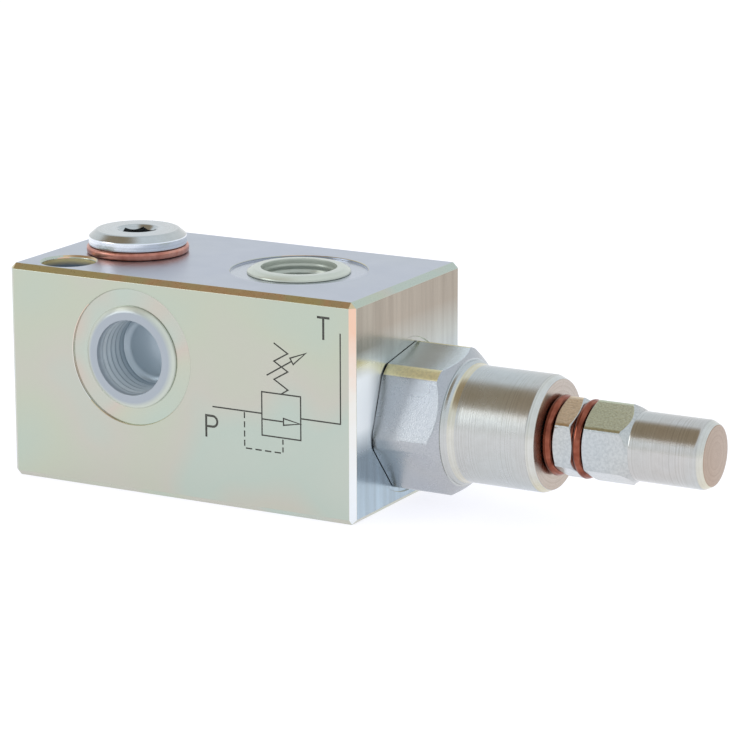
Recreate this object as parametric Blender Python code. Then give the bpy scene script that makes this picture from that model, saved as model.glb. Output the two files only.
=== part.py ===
"""In-line hydraulic pressure relief valve: a square steel block with a spring cartridge in its end.

Dimensions are in millimetres and become metres when a mesh is made. The origin is the centre of the
block's bottom face. +X runs along the cartridge towards its cap, -Y is the face with the pressure
port, and +Z is the face with the tank port and the plug.
"""

import math

import bmesh
import bpy
from mathutils import Matrix

MM = 0.001
GAP = 0.3  # clearance between solids that touch on the real valve

# Block
BLOCK_LENGTH = 72.0
BLOCK_SIDE = 40.0
BLOCK_EDGE = 1.0
RIGHT_FACE = BLOCK_LENGTH / 2

# G 3/8 ports, as depths and radii under the face
PORT_SPOT_RADIUS = 12.5
PORT_SPOT_DEPTH = 0.4
PORT_CHAMFER_RADIUS = 9.6
PORT_CHAMFER_DEPTH = 1.4
PORT_THREAD_RADIUS = 7.4
PORT_THREAD_DEPTH = 12.5
PORT_DRILL_RADIUS = 5.5
PORT_DRILL_START = 13.5
PRESSURE_PORT_X = -9.8
PRESSURE_PORT_Z = 25.3
PRESSURE_DRILL_DEPTH = 23.0
TANK_PORT_X = 13.6
TANK_DRILL_DEPTH = 22.0

# Flanged plastic plugs pressed into both ports, as heights and radii from the face
PORT_CAP_FLANGE_START = -0.3
PORT_CAP_FLANGE_RADIUS = 9.45
PORT_CAP_BEVEL_START = 0.0
PORT_CAP_BEVEL_RADIUS = 8.4
PORT_CAP_TOP = 0.65
PORT_CAP_SHANK_RADIUS = PORT_THREAD_RADIUS - GAP
PORT_CAP_SHANK_END = -9.0
PORT_CAP_SHANK_BEVEL = 0.5
PORT_CAP_CUP_RADIUS = 6.7
PORT_CAP_CUP_FLOOR = -8.2
PORT_CAP_CUP_FLOOR_RADIUS = 6.3

# G 1/4 plug and its port
PLUG_X = -20.8
PLUG_BORE_RADIUS = 6.6
PLUG_BORE_DEPTH = 13.0
PLUG_DRILL_RADIUS = 4.8
PLUG_DRILL_START = 14.5
PLUG_DRILL_DEPTH = 27.0
PLUG_SHANK_RADIUS = PLUG_BORE_RADIUS - GAP
PLUG_SHANK_LENGTH = 11.0
PLUG_SHANK_BEVEL = 1.0
PLUG_NECK_RADIUS = 5.6
PLUG_NECK_LENGTH = 1.6
PLUG_HEAD_RADIUS = 9.05
PLUG_HEAD_START = 1.5
PLUG_RIM_END = 3.2
PLUG_TOP = 4.35
PLUG_TOP_RADIUS = 7.65
PLUG_SOCKET_ACROSS_FLATS = 6.0
PLUG_SOCKET_ANGLE = math.radians(15)
PLUG_SOCKET_DEPTH = 5.0
PLUG_MOUTH_RADIUS = 3.8
PLUG_WASHER_RADIUS = 9.45
PLUG_WASHER_BORE = 6.8
PLUG_WASHER_START = 0.1
PLUG_WASHER_END = 1.4
WASHER_EDGE = 0.2

# Two vertical mounting holes
MOUNT_X = -27.2
MOUNT_Y = 13.4
MOUNT_RADIUS = 4.9
MOUNT_BEVEL = 0.4

# Cartridge bore in the block: depths are under the right face, ends are places along X
AXIS_Z = 15.9
SEAT_RING_RADIUS = 14.0
SEAT_RING_DEPTH = 0.3
SEAL_RECESS_RADIUS = 11.9
SEAL_RECESS_DEPTH = 2.2
SHANK_BORE_RADIUS = 10.0
SHANK_BORE_END = 20.0
CHAMBER_RADIUS = 9.0
CHAMBER_END = 5.0
SEAT_BORE_RADIUS = 7.0
SEAT_BORE_END = -4.0
GALLERY_RADIUS = 5.5
GALLERY_END = -26.0

# Spring housing, from the right face
HEX_ACROSS_FLATS = 23.9
HEX_CORNER_RADIUS = 13.25
HEX_ANGLE = math.radians(10.1)
HEX_BEVEL_START = 10.65
HEX_END = 12.2
HEX_END_RADIUS = 11.5
HOUSING_NECK_RADIUS = 11.1
HOUSING_NECK_END = 13.0
HOUSING_FILLET_RADIUS = 10.65
HOUSING_FILLET_END = 14.3
HOUSING_RADIUS = 10.45
HOUSING_BEVEL_START = 28.3
HOUSING_END = 29.7
HOUSING_END_RADIUS = 9.8
SHANK_RADIUS = SHANK_BORE_RADIUS - GAP
SHANK_LENGTH = 15.0
SHANK_BEVEL = 1.0
RELIEF_RADIUS = 8.9
RELIEF_START = 4.6
RELIEF_END = 3.8
SPRING_BORE_RADIUS = 7.0
SPRING_BORE_END = 24.4

# Adjusting screw and the nuts and crush rings on it, from the right face
SCREW_RADIUS = 3.7
SCREW_HOLE_RADIUS = SCREW_RADIUS + GAP
SCREW_START = 21.5
SCREW_END = 50.0
SCREW_BEVEL = 0.6
SCREW_SOCKET_ACROSS_FLATS = 4.0
SCREW_SOCKET_DEPTH = 4.0
CRUSH_RING_BORE = 4.2
CRUSH_RING_EDGE = 0.4
ADJUSTER_WASHER_RADIUS = 7.1
ADJUSTER_WASHER_START = 29.85
ADJUSTER_WASHER_END = 31.35
SMALL_HEX_ACROSS_FLATS = 12.8
SMALL_HEX_CORNER_RADIUS = 7.25
SMALL_HEX_ANGLE = math.radians(31.3)
NUT_START = 31.5
NUT_END = 35.35
NUT_BEVEL = 0.5
NUT_BEVEL_RADIUS = 6.3
CAP_WASHER_RADIUS = 7.0
CAP_WASHER_START = 35.5
CAP_WASHER_END = 36.95
CAP_START = 37.1
CAP_HEX_BEVEL_START = 44.3
CAP_HEX_END = 45.8
CAP_RADIUS = 6.1
CAP_END_BEVEL_START = 58.1
CAP_END = 59.5
CAP_END_RADIUS = 5.4
CAP_BORE_END = 56.0

# Valve seat and poppet, along X
SEAT_START = SEAT_BORE_END + GAP
SEAT_END = CHAMBER_END
SEAT_RADIUS = SEAT_BORE_RADIUS - GAP
SEAT_BEVEL = 0.5
SEAT_HOLE_RADIUS = 3.7
SEAT_GROOVE_RADIUS = 4.9
SEAT_GROOVE_START = -1.9
SEAT_GROOVE_END = 1.9
SEAT_SEAL_X = -0.85
SEAT_SEAL_MEAN_RADIUS = (SEAT_GROOVE_RADIUS + SEAT_BORE_RADIUS) / 2
SEAT_SEAL_SECTION = 0.75
BACKUP_RING_START = 0.2
BACKUP_RING_END = SEAT_GROOVE_END - GAP
POPPET_START = -2.6
POPPET_STEM_RADIUS = SEAT_HOLE_RADIUS - GAP
POPPET_STEM_END = 2.4
POPPET_WAIST_RADIUS = 2.2
POPPET_CONE_START = 4.0
POPPET_RADIUS = 6.2
POPPET_COLLAR_END = 10.5
POPPET_BOSS_RADIUS = 4.2
POPPET_END = 12.6
BALL_RADIUS = 2.0
BALL_X = 13.4

# Spring and its plates, along X
SPRING_SEAT_START = 14.2
SPRING_SEAT_FLANGE_START = 16.2
SPRING_SEAT_FLANGE_END = 18.4
SPRING_SEAT_END = 24.0
SPRING_SEAT_BOSS_RADIUS = 4.2
SPRING_SEAT_RADIUS = 6.6
SPRING_PILOT_RADIUS = 3.6
SPRING_PILOT_BEVEL = 1.0
SPRING_WIRE_RADIUS = 1.2
SPRING_MEAN_RADIUS = 5.2
SPRING_START = SPRING_SEAT_FLANGE_END + GAP
SPRING_END = 49.6
SPRING_TURNS = 8.5
SPRING_END_PITCH = 2.8
SHIM_START = SPRING_END + GAP
SHIM_END = 51.0
SHIM_BORE = SPRING_PILOT_RADIUS + GAP
SHIM_RADIUS = 6.5
PLATE_PILOT_START = 44.0
PLATE_START = SHIM_END + GAP
PLATE_END = 57.2
PLATE_RADIUS = SPRING_BORE_RADIUS - GAP
PLATE_GROOVE_START = 53.0
PLATE_GROOVE_END = 55.2
PLATE_GROOVE_RADIUS = 5.1
PLATE_SEAL_SECTION = 0.65

# Seal under the spring housing's hexagon
HOUSING_SEAL_X = RIGHT_FACE - 1.1
HOUSING_SEAL_MEAN_RADIUS = 10.4
HOUSING_SEAL_SECTION = 0.9

ROUND_STEPS = 36
INNER_STEPS = 24
SEAL_STEPS = 8
SPRING_STEPS_PER_TURN = 12
SMOOTH_ANGLE = math.radians(25)

# Local X, Y and Z become world Y, Z and X, so an outline's height is its place along X.
CARTRIDGE = Matrix.Translation((0.0, 0.0, AXIS_Z)) @ Matrix(((0, 0, 1), (1, 0, 0), (0, 1, 0))).to_4x4()
PLUG_PLACE = Matrix.Translation((PLUG_X, 0.0, BLOCK_SIDE))
PRESSURE_PORT_POINT = Matrix.Translation((PRESSURE_PORT_X, -BLOCK_SIDE / 2, PRESSURE_PORT_Z))
PRESSURE_PORT_PLACE = PRESSURE_PORT_POINT @ Matrix.Rotation(math.pi / 2, 4, "X")
TANK_PORT_PLACE = Matrix.Translation((TANK_PORT_X, 0.0, BLOCK_SIDE))


def make_material(name, colour, metallic, roughness):
    material = bpy.data.materials.new(name)
    material.use_nodes = True
    shader = material.node_tree.nodes["Principled BSDF"]
    shader.inputs["Base Color"].default_value = (*colour, 1.0)
    shader.inputs["Metallic"].default_value = metallic
    shader.inputs["Roughness"].default_value = roughness
    return material


def make_materials():
    return {
        "plated_block": make_material("plated_block", (0.67, 0.68, 0.60), 0.9, 0.38),
        "plated_bright": make_material("plated_bright", (0.70, 0.71, 0.68), 1.0, 0.22),
        "copper": make_material("copper", (0.52, 0.16, 0.09), 1.0, 0.32),
        "hard_steel": make_material("hard_steel", (0.40, 0.40, 0.41), 1.0, 0.18),
        "spring_steel": make_material("spring_steel", (0.22, 0.23, 0.25), 1.0, 0.30),
        "rubber": make_material("rubber", (0.02, 0.02, 0.02), 0.0, 0.55),
        "white_plastic": make_material("white_plastic", (0.80, 0.80, 0.77), 0.0, 0.45),
        "clear_plastic": make_material("clear_plastic", (0.55, 0.56, 0.58), 0.0, 0.20),
    }


def in_metres(matrix):
    placed = matrix.copy()
    placed.translation = matrix.translation * MM
    return placed


def add_object(name, builder, material, place):
    """Makes an object in metres from a bmesh in millimetres, with its origin at this place."""
    mesh = bpy.data.meshes.new(name)
    builder.to_mesh(mesh)
    builder.free()
    mesh.transform(Matrix.Scale(MM, 4))
    if material:
        mesh.materials.append(material)
    mesh.shade_smooth()
    mesh.set_sharp_from_angle(angle=SMOOTH_ANGLE)
    item = bpy.data.objects.new(name, mesh)
    bpy.context.scene.collection.objects.link(item)
    item.matrix_world = in_metres(place)
    return item


def cut(item, name, builder, place):
    """Takes this shape away from an object with a Boolean, and keeps it as a hidden cutter."""
    cutter = add_object(f"cut_{name}", builder, None, place)
    cutter.hide_render = True
    cutter.display_type = "WIRE"
    modifier = item.modifiers.new(name, "BOOLEAN")
    modifier.operation = "DIFFERENCE"
    modifier.object = cutter


def turned(outline, steps=ROUND_STEPS):
    """Spins a closed outline of (height, radius) points about local Z."""
    builder = bmesh.new()
    corners = [builder.verts.new((radius, 0.0, height)) for height, radius in outline]
    for first, second in zip(corners, corners[1:] + corners[:1]):
        if first.co.x > 0.0 or second.co.x > 0.0:
            builder.edges.new((first, second))
    bmesh.ops.spin(
        builder,
        geom=builder.verts[:] + builder.edges[:],
        cent=(0.0, 0.0, 0.0),
        axis=(0.0, 0.0, 1.0),
        angle=math.tau,
        steps=steps,
        use_merge=True,
    )
    bmesh.ops.remove_doubles(builder, verts=builder.verts[:], dist=1e-4)
    bmesh.ops.recalc_face_normals(builder, faces=builder.faces[:])
    return builder


def shifted(outline, distance):
    return [(height + distance, radius) for height, radius in outline]


def hex_bar(across_flats, low, high, angle=0.0):
    """A hexagonal bar about local Z, with a corner at this angle from local X."""
    builder = bmesh.new()
    corner_radius = across_flats / 2 / math.cos(math.pi / 6)
    middle = Matrix.Translation((0.0, 0.0, (low + high) / 2))
    bmesh.ops.create_cone(
        builder,
        cap_ends=True,
        segments=6,
        radius1=corner_radius,
        radius2=corner_radius,
        depth=high - low,
        matrix=middle @ Matrix.Rotation(angle - math.pi / 2, 4, "Z"),
    )
    return builder


def hex_sleeve(across_flats, outer_radius, low, high, angle):
    """What is round a hexagonal bar: taking it away from a turned shape leaves the flats."""
    builder = bmesh.new()
    inner_radius = across_flats / 2 / math.cos(math.pi / 6)
    place = Matrix.Translation((0.0, 0.0, low)) @ Matrix.Rotation(angle - math.pi / 2, 4, "Z")
    for radius in (inner_radius, outer_radius):
        bmesh.ops.create_circle(builder, segments=6, radius=radius, matrix=place)
    bmesh.ops.bridge_loops(builder, edges=builder.edges[:])
    grown = bmesh.ops.extrude_face_region(builder, geom=builder.faces[:])
    raised = [part for part in grown["geom"] if isinstance(part, bmesh.types.BMVert)]
    bmesh.ops.translate(builder, vec=(0.0, 0.0, high - low), verts=raised)
    bmesh.ops.recalc_face_normals(builder, faces=builder.faces[:])
    return builder


def hole_outline(steps, overrun=1.0):
    """A stepped hole from (depth, radius) pairs, starting at its mouth, with local Z out of the face."""
    outline = [(overrun, 0.0), (overrun, steps[0][1])]
    outline += [(-depth, radius) for depth, radius in steps]
    outline.append((-steps[-1][0], 0.0))
    return outline


def ring_outline(centre, mean_radius, section_radius):
    """An O-ring's round section."""
    angles = [math.tau * i / SEAL_STEPS for i in range(SEAL_STEPS)]
    return [
        (centre + section_radius * math.cos(a), mean_radius + section_radius * math.sin(a))
        for a in angles
    ]


def washer_outline(start, end, inner_radius, outer_radius, edge):
    return [
        (start, inner_radius),
        (start, outer_radius - edge),
        (start + edge, outer_radius),
        (end - edge, outer_radius),
        (end, outer_radius - edge),
        (end, inner_radius),
    ]


def cut_ports(block):
    steps = [
        (PORT_SPOT_DEPTH, PORT_SPOT_RADIUS),
        (PORT_SPOT_DEPTH, PORT_CHAMFER_RADIUS),
        (PORT_CHAMFER_DEPTH, PORT_THREAD_RADIUS),
        (PORT_THREAD_DEPTH, PORT_THREAD_RADIUS),
        (PORT_DRILL_START, PORT_DRILL_RADIUS),
    ]
    pressure = hole_outline(steps + [(PRESSURE_DRILL_DEPTH, PORT_DRILL_RADIUS)])
    cut(block, "pressure_port", turned(pressure), PRESSURE_PORT_PLACE)
    tank = hole_outline(steps + [(TANK_DRILL_DEPTH, PORT_DRILL_RADIUS)])
    cut(block, "tank_port", turned(tank), TANK_PORT_PLACE)


def cut_plug_port(block):
    steps = [
        (PLUG_BORE_DEPTH, PLUG_BORE_RADIUS),
        (PLUG_DRILL_START, PLUG_DRILL_RADIUS),
        (PLUG_DRILL_DEPTH, PLUG_DRILL_RADIUS),
    ]
    cut(block, "plug_port", turned(hole_outline(steps)), PLUG_PLACE)


def cut_mounting_holes(block):
    wide = MOUNT_RADIUS + MOUNT_BEVEL
    outline = [
        (BLOCK_SIDE + 1.0, 0.0),
        (BLOCK_SIDE + 1.0, wide),
        (BLOCK_SIDE, wide),
        (BLOCK_SIDE - MOUNT_BEVEL, MOUNT_RADIUS),
        (MOUNT_BEVEL, MOUNT_RADIUS),
        (0.0, wide),
        (-1.0, wide),
        (-1.0, 0.0),
    ]
    for name, y in (("front_hole", -MOUNT_Y), ("back_hole", MOUNT_Y)):
        cut(block, name, turned(outline, INNER_STEPS), Matrix.Translation((MOUNT_X, y, 0.0)))


def cut_cartridge_bore(block):
    outline = [
        (RIGHT_FACE + 1.0, 0.0),
        (RIGHT_FACE + 1.0, SEAT_RING_RADIUS),
        (RIGHT_FACE - SEAT_RING_DEPTH, SEAT_RING_RADIUS),
        (RIGHT_FACE - SEAT_RING_DEPTH, SEAL_RECESS_RADIUS),
        (RIGHT_FACE - SEAL_RECESS_DEPTH, SEAL_RECESS_RADIUS),
        (RIGHT_FACE - SEAL_RECESS_DEPTH, SHANK_BORE_RADIUS),
        (SHANK_BORE_END, SHANK_BORE_RADIUS),
        (SHANK_BORE_END - 1.0, CHAMBER_RADIUS),
        (CHAMBER_END, CHAMBER_RADIUS),
        (CHAMBER_END, SEAT_BORE_RADIUS),
        (SEAT_BORE_END, SEAT_BORE_RADIUS),
        (SEAT_BORE_END, GALLERY_RADIUS),
        (GALLERY_END, GALLERY_RADIUS),
        (GALLERY_END, 0.0),
    ]
    cut(block, "cartridge_bore", turned(outline), CARTRIDGE)


def make_valve_body(material):
    builder = bmesh.new()
    bmesh.ops.create_cube(builder, size=1.0)
    bmesh.ops.scale(builder, vec=(BLOCK_LENGTH, BLOCK_SIDE, BLOCK_SIDE), verts=builder.verts[:])
    bmesh.ops.translate(builder, vec=(0.0, 0.0, BLOCK_SIDE / 2), verts=builder.verts[:])
    bmesh.ops.bevel(builder, geom=builder.edges[:], offset=BLOCK_EDGE, segments=1, affect="EDGES")
    block = add_object("valve_body", builder, material, Matrix.Identity(4))
    cut_mounting_holes(block)
    cut_cartridge_bore(block)
    cut_plug_port(block)
    cut_ports(block)


def make_port_plug(material):
    outline = [
        (-PLUG_SHANK_LENGTH, 0.0),
        (-PLUG_SHANK_LENGTH, PLUG_SHANK_RADIUS - PLUG_SHANK_BEVEL),
        (-PLUG_SHANK_LENGTH + PLUG_SHANK_BEVEL, PLUG_SHANK_RADIUS),
        (-PLUG_NECK_LENGTH, PLUG_SHANK_RADIUS),
        (-PLUG_NECK_LENGTH + PLUG_SHANK_RADIUS - PLUG_NECK_RADIUS, PLUG_NECK_RADIUS),
        (PLUG_HEAD_START, PLUG_NECK_RADIUS),
        (PLUG_HEAD_START, PLUG_HEAD_RADIUS),
        (PLUG_RIM_END, PLUG_HEAD_RADIUS),
        (PLUG_TOP, PLUG_TOP_RADIUS),
        (PLUG_TOP, 0.0),
    ]
    plug = add_object("port_plug", turned(outline), material, PLUG_PLACE)
    bottom = PLUG_TOP - PLUG_SOCKET_DEPTH
    socket = hex_bar(PLUG_SOCKET_ACROSS_FLATS, bottom, PLUG_TOP + 1.0, PLUG_SOCKET_ANGLE)
    cut(plug, "plug_socket", socket, PLUG_PLACE)
    mouth = [
        (PLUG_TOP - PLUG_MOUTH_RADIUS / 2, 0.0),
        (PLUG_TOP - PLUG_MOUTH_RADIUS / 2, PLUG_MOUTH_RADIUS / 2),
        (PLUG_TOP, PLUG_MOUTH_RADIUS),
        (PLUG_TOP + 1.0, PLUG_MOUTH_RADIUS),
        (PLUG_TOP + 1.0, 0.0),
    ]
    cut(plug, "plug_mouth", turned(mouth), PLUG_PLACE)


def make_port_cap(name, material, place):
    """A thin plastic cup whose flange covers the mouth of the port."""
    outline = [
        (PORT_CAP_CUP_FLOOR, 0.0),
        (PORT_CAP_CUP_FLOOR, PORT_CAP_CUP_FLOOR_RADIUS),
        (PORT_CAP_TOP, PORT_CAP_CUP_RADIUS),
        (PORT_CAP_TOP, PORT_CAP_BEVEL_RADIUS),
        (PORT_CAP_BEVEL_START, PORT_CAP_FLANGE_RADIUS),
        (PORT_CAP_FLANGE_START, PORT_CAP_FLANGE_RADIUS),
        (PORT_CAP_FLANGE_START, PORT_CAP_SHANK_RADIUS),
        (PORT_CAP_SHANK_END + PORT_CAP_SHANK_BEVEL, PORT_CAP_SHANK_RADIUS),
        (PORT_CAP_SHANK_END, PORT_CAP_SHANK_RADIUS - PORT_CAP_SHANK_BEVEL),
        (PORT_CAP_SHANK_END, 0.0),
    ]
    add_object(name, turned(outline), material, place)


def make_plug_washer(material):
    outline = washer_outline(
        PLUG_WASHER_START, PLUG_WASHER_END, PLUG_WASHER_BORE, PLUG_WASHER_RADIUS, WASHER_EDGE
    )
    add_object("port_plug_washer", turned(outline), material, PLUG_PLACE)


def make_spring_housing(material):
    outline = [
        (-SHANK_LENGTH, SPRING_BORE_RADIUS),
        (-SHANK_LENGTH, SHANK_RADIUS - SHANK_BEVEL),
        (-SHANK_LENGTH + SHANK_BEVEL, SHANK_RADIUS),
        (-RELIEF_START, SHANK_RADIUS),
        (-RELIEF_END, RELIEF_RADIUS),
        (0.0, RELIEF_RADIUS),
        (0.0, HEX_CORNER_RADIUS),
        (HEX_BEVEL_START, HEX_CORNER_RADIUS),
        (HEX_END, HEX_END_RADIUS),
        (HEX_END, HOUSING_NECK_RADIUS),
        (HOUSING_NECK_END, HOUSING_FILLET_RADIUS),
        (HOUSING_FILLET_END, HOUSING_RADIUS),
        (HOUSING_BEVEL_START, HOUSING_RADIUS),
        (HOUSING_END, HOUSING_END_RADIUS),
        (HOUSING_END, SCREW_HOLE_RADIUS),
        (SPRING_BORE_END, SCREW_HOLE_RADIUS),
        (SPRING_BORE_END, SPRING_BORE_RADIUS),
    ]
    outline = shifted(outline, RIGHT_FACE)
    housing = add_object("spring_housing", turned(outline), material, CARTRIDGE)
    low = RIGHT_FACE - 0.5
    high = RIGHT_FACE + HEX_END + 0.5
    flats = hex_sleeve(HEX_ACROSS_FLATS, 2 * HEX_CORNER_RADIUS, low, high, HEX_ANGLE)
    cut(housing, "housing_flats", flats, CARTRIDGE)


def make_small_hexagon(name, outline, material):
    """A turned nut on the adjusting screw, with its six flats."""
    nut = add_object(name, turned(shifted(outline, RIGHT_FACE)), material, CARTRIDGE)
    heights = [height for height, _ in outline]
    flats = hex_sleeve(
        SMALL_HEX_ACROSS_FLATS,
        2 * SMALL_HEX_CORNER_RADIUS,
        RIGHT_FACE + min(heights) - 0.5,
        RIGHT_FACE + max(heights) + 0.5,
        SMALL_HEX_ANGLE,
    )
    cut(nut, f"{name}_flats", flats, CARTRIDGE)


def make_lock_nut(material):
    outline = [
        (NUT_START, SCREW_HOLE_RADIUS),
        (NUT_START, NUT_BEVEL_RADIUS),
        (NUT_START + NUT_BEVEL, SMALL_HEX_CORNER_RADIUS),
        (NUT_END - NUT_BEVEL, SMALL_HEX_CORNER_RADIUS),
        (NUT_END, NUT_BEVEL_RADIUS),
        (NUT_END, SCREW_HOLE_RADIUS),
    ]
    make_small_hexagon("lock_nut", outline, material)


def make_cap_nut(material):
    outline = [
        (CAP_START, SCREW_HOLE_RADIUS),
        (CAP_START, NUT_BEVEL_RADIUS),
        (CAP_START + NUT_BEVEL, SMALL_HEX_CORNER_RADIUS),
        (CAP_HEX_BEVEL_START, SMALL_HEX_CORNER_RADIUS),
        (CAP_HEX_END, CAP_RADIUS),
        (CAP_END_BEVEL_START, CAP_RADIUS),
        (CAP_END, CAP_END_RADIUS),
        (CAP_END, 0.0),
        (CAP_BORE_END, 0.0),
        (CAP_BORE_END, SCREW_HOLE_RADIUS),
    ]
    make_small_hexagon("cap_nut", outline, material)


def make_crush_ring(name, start, end, radius, material):
    outline = washer_outline(start, end, CRUSH_RING_BORE, radius, CRUSH_RING_EDGE)
    add_object(name, turned(shifted(outline, RIGHT_FACE)), material, CARTRIDGE)


def make_adjusting_screw(material):
    outline = [
        (SCREW_START, 0.0),
        (SCREW_START, SCREW_RADIUS - SCREW_BEVEL),
        (SCREW_START + SCREW_BEVEL, SCREW_RADIUS),
        (SCREW_END - SCREW_BEVEL, SCREW_RADIUS),
        (SCREW_END, SCREW_RADIUS - SCREW_BEVEL),
        (SCREW_END, 0.0),
    ]
    outline = shifted(outline, RIGHT_FACE)
    screw = add_object("adjusting_screw", turned(outline, INNER_STEPS), material, CARTRIDGE)
    end = RIGHT_FACE + SCREW_END
    socket = hex_bar(SCREW_SOCKET_ACROSS_FLATS, end - SCREW_SOCKET_DEPTH, end + 1.0)
    cut(screw, "screw_socket", socket, CARTRIDGE)


def make_valve_seat(material):
    outline = [
        (SEAT_START, SEAT_HOLE_RADIUS),
        (SEAT_START, SEAT_RADIUS - SEAT_BEVEL),
        (SEAT_START + SEAT_BEVEL, SEAT_RADIUS),
        (SEAT_GROOVE_START, SEAT_RADIUS),
        (SEAT_GROOVE_START, SEAT_GROOVE_RADIUS),
        (SEAT_GROOVE_END, SEAT_GROOVE_RADIUS),
        (SEAT_GROOVE_END, SEAT_RADIUS),
        (SEAT_END - SEAT_BEVEL, SEAT_RADIUS),
        (SEAT_END, SEAT_RADIUS - SEAT_BEVEL),
        (SEAT_END, SEAT_HOLE_RADIUS),
    ]
    add_object("valve_seat", turned(outline, INNER_STEPS), material, CARTRIDGE)


def make_poppet(material):
    """A cone on a guide stem, with a 90 degree recess behind it for the centring ball."""
    cone_length = POPPET_RADIUS - POPPET_WAIST_RADIUS
    recess_tip = BALL_X - (BALL_RADIUS + GAP) * math.sqrt(2)
    outline = [
        (POPPET_START, 0.0),
        (POPPET_START, POPPET_STEM_RADIUS - SEAT_BEVEL),
        (POPPET_START + SEAT_BEVEL, POPPET_STEM_RADIUS),
        (POPPET_STEM_END, POPPET_STEM_RADIUS),
        (POPPET_STEM_END, POPPET_WAIST_RADIUS),
        (POPPET_CONE_START, POPPET_WAIST_RADIUS),
        (POPPET_CONE_START + cone_length, POPPET_RADIUS),
        (POPPET_COLLAR_END, POPPET_RADIUS),
        (POPPET_COLLAR_END, POPPET_BOSS_RADIUS),
        (POPPET_END, POPPET_BOSS_RADIUS),
        (POPPET_END, POPPET_END - recess_tip),
        (recess_tip, 0.0),
    ]
    add_object("poppet", turned(outline, INNER_STEPS), material, CARTRIDGE)


def make_centring_ball(material):
    builder = bmesh.new()
    place = Matrix.Translation((0.0, 0.0, BALL_X))
    bmesh.ops.create_icosphere(builder, subdivisions=3, radius=BALL_RADIUS, matrix=place)
    add_object("centring_ball", builder, material, CARTRIDGE)


def make_spring_seat(material):
    recess_tip = BALL_X + (BALL_RADIUS + GAP) * math.sqrt(2)
    outline = [
        (recess_tip, 0.0),
        (SPRING_SEAT_START, recess_tip - SPRING_SEAT_START),
        (SPRING_SEAT_START, SPRING_SEAT_BOSS_RADIUS),
        (SPRING_SEAT_FLANGE_START, SPRING_SEAT_BOSS_RADIUS),
        (SPRING_SEAT_FLANGE_START, SPRING_SEAT_RADIUS),
        (SPRING_SEAT_FLANGE_END, SPRING_SEAT_RADIUS),
        (SPRING_SEAT_FLANGE_END, SPRING_PILOT_RADIUS),
        (SPRING_SEAT_END - SPRING_PILOT_BEVEL, SPRING_PILOT_RADIUS),
        (SPRING_SEAT_END, SPRING_PILOT_RADIUS - SPRING_PILOT_BEVEL),
        (SPRING_SEAT_END, 0.0),
    ]
    add_object("spring_seat", turned(outline, INNER_STEPS), material, CARTRIDGE)


def spring_height(turn):
    """How far along its axis the wire is after this many turns: one close turn at each end."""
    whole_rise = SPRING_END - SPRING_START - 2 * SPRING_WIRE_RADIUS
    open_pitch = (whole_rise - 2 * SPRING_END_PITCH) / (SPRING_TURNS - 2)
    if turn < 1:
        return SPRING_END_PITCH * turn
    if turn > SPRING_TURNS - 1:
        return whole_rise - SPRING_END_PITCH * (SPRING_TURNS - turn)
    return SPRING_END_PITCH + open_pitch * (turn - 1)


def make_main_spring(material):
    curve = bpy.data.curves.new("main_spring", "CURVE")
    curve.dimensions = "3D"
    curve.bevel_depth = SPRING_WIRE_RADIUS * MM
    curve.bevel_resolution = 1
    curve.use_fill_caps = True
    curve.materials.append(material)
    count = round(SPRING_TURNS * SPRING_STEPS_PER_TURN) + 1
    spline = curve.splines.new("POLY")
    spline.points.add(count - 1)
    for i, point in enumerate(spline.points):
        turn = i / SPRING_STEPS_PER_TURN
        x = SPRING_MEAN_RADIUS * math.cos(math.tau * turn)
        y = SPRING_MEAN_RADIUS * math.sin(math.tau * turn)
        z = SPRING_START + SPRING_WIRE_RADIUS + spring_height(turn)
        point.co = (x * MM, y * MM, z * MM, 1.0)
    spring = bpy.data.objects.new("main_spring", curve)
    bpy.context.scene.collection.objects.link(spring)
    spring.matrix_world = in_metres(CARTRIDGE)


def make_upper_spring_plate(material):
    outline = [
        (PLATE_PILOT_START, 0.0),
        (PLATE_PILOT_START, SPRING_PILOT_RADIUS - SPRING_PILOT_BEVEL),
        (PLATE_PILOT_START + SPRING_PILOT_BEVEL, SPRING_PILOT_RADIUS),
        (PLATE_START, SPRING_PILOT_RADIUS),
        (PLATE_START, PLATE_RADIUS),
        (PLATE_GROOVE_START, PLATE_RADIUS),
        (PLATE_GROOVE_START, PLATE_GROOVE_RADIUS),
        (PLATE_GROOVE_END, PLATE_GROOVE_RADIUS),
        (PLATE_GROOVE_END, PLATE_RADIUS),
        (PLATE_END, PLATE_RADIUS),
        (PLATE_END, 0.0),
    ]
    add_object("upper_spring_plate", turned(outline, INNER_STEPS), material, CARTRIDGE)


def make_seals(rubber, white_plastic):
    groove_middle = (PLATE_GROOVE_START + PLATE_GROOVE_END) / 2
    plate_seal_radius = (PLATE_GROOVE_RADIUS + SPRING_BORE_RADIUS) / 2
    rings = {
        "housing_o_ring": (HOUSING_SEAL_X, HOUSING_SEAL_MEAN_RADIUS, HOUSING_SEAL_SECTION),
        "seat_o_ring": (SEAT_SEAL_X, SEAT_SEAL_MEAN_RADIUS, SEAT_SEAL_SECTION),
        "plate_o_ring": (groove_middle, plate_seal_radius, PLATE_SEAL_SECTION),
    }
    for name, section in rings.items():
        add_object(name, turned(ring_outline(*section), INNER_STEPS), rubber, CARTRIDGE)
    inner_radius = SEAT_GROOVE_RADIUS + GAP
    backup = washer_outline(BACKUP_RING_START, BACKUP_RING_END, inner_radius, SEAT_RADIUS, WASHER_EDGE)
    add_object("seat_backup_ring", turned(backup, INNER_STEPS), white_plastic, CARTRIDGE)


def make_spring_shim(material):
    outline = washer_outline(SHIM_START, SHIM_END, SHIM_BORE, SHIM_RADIUS, WASHER_EDGE)
    add_object("spring_shim", turned(outline, INNER_STEPS), material, CARTRIDGE)


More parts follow.
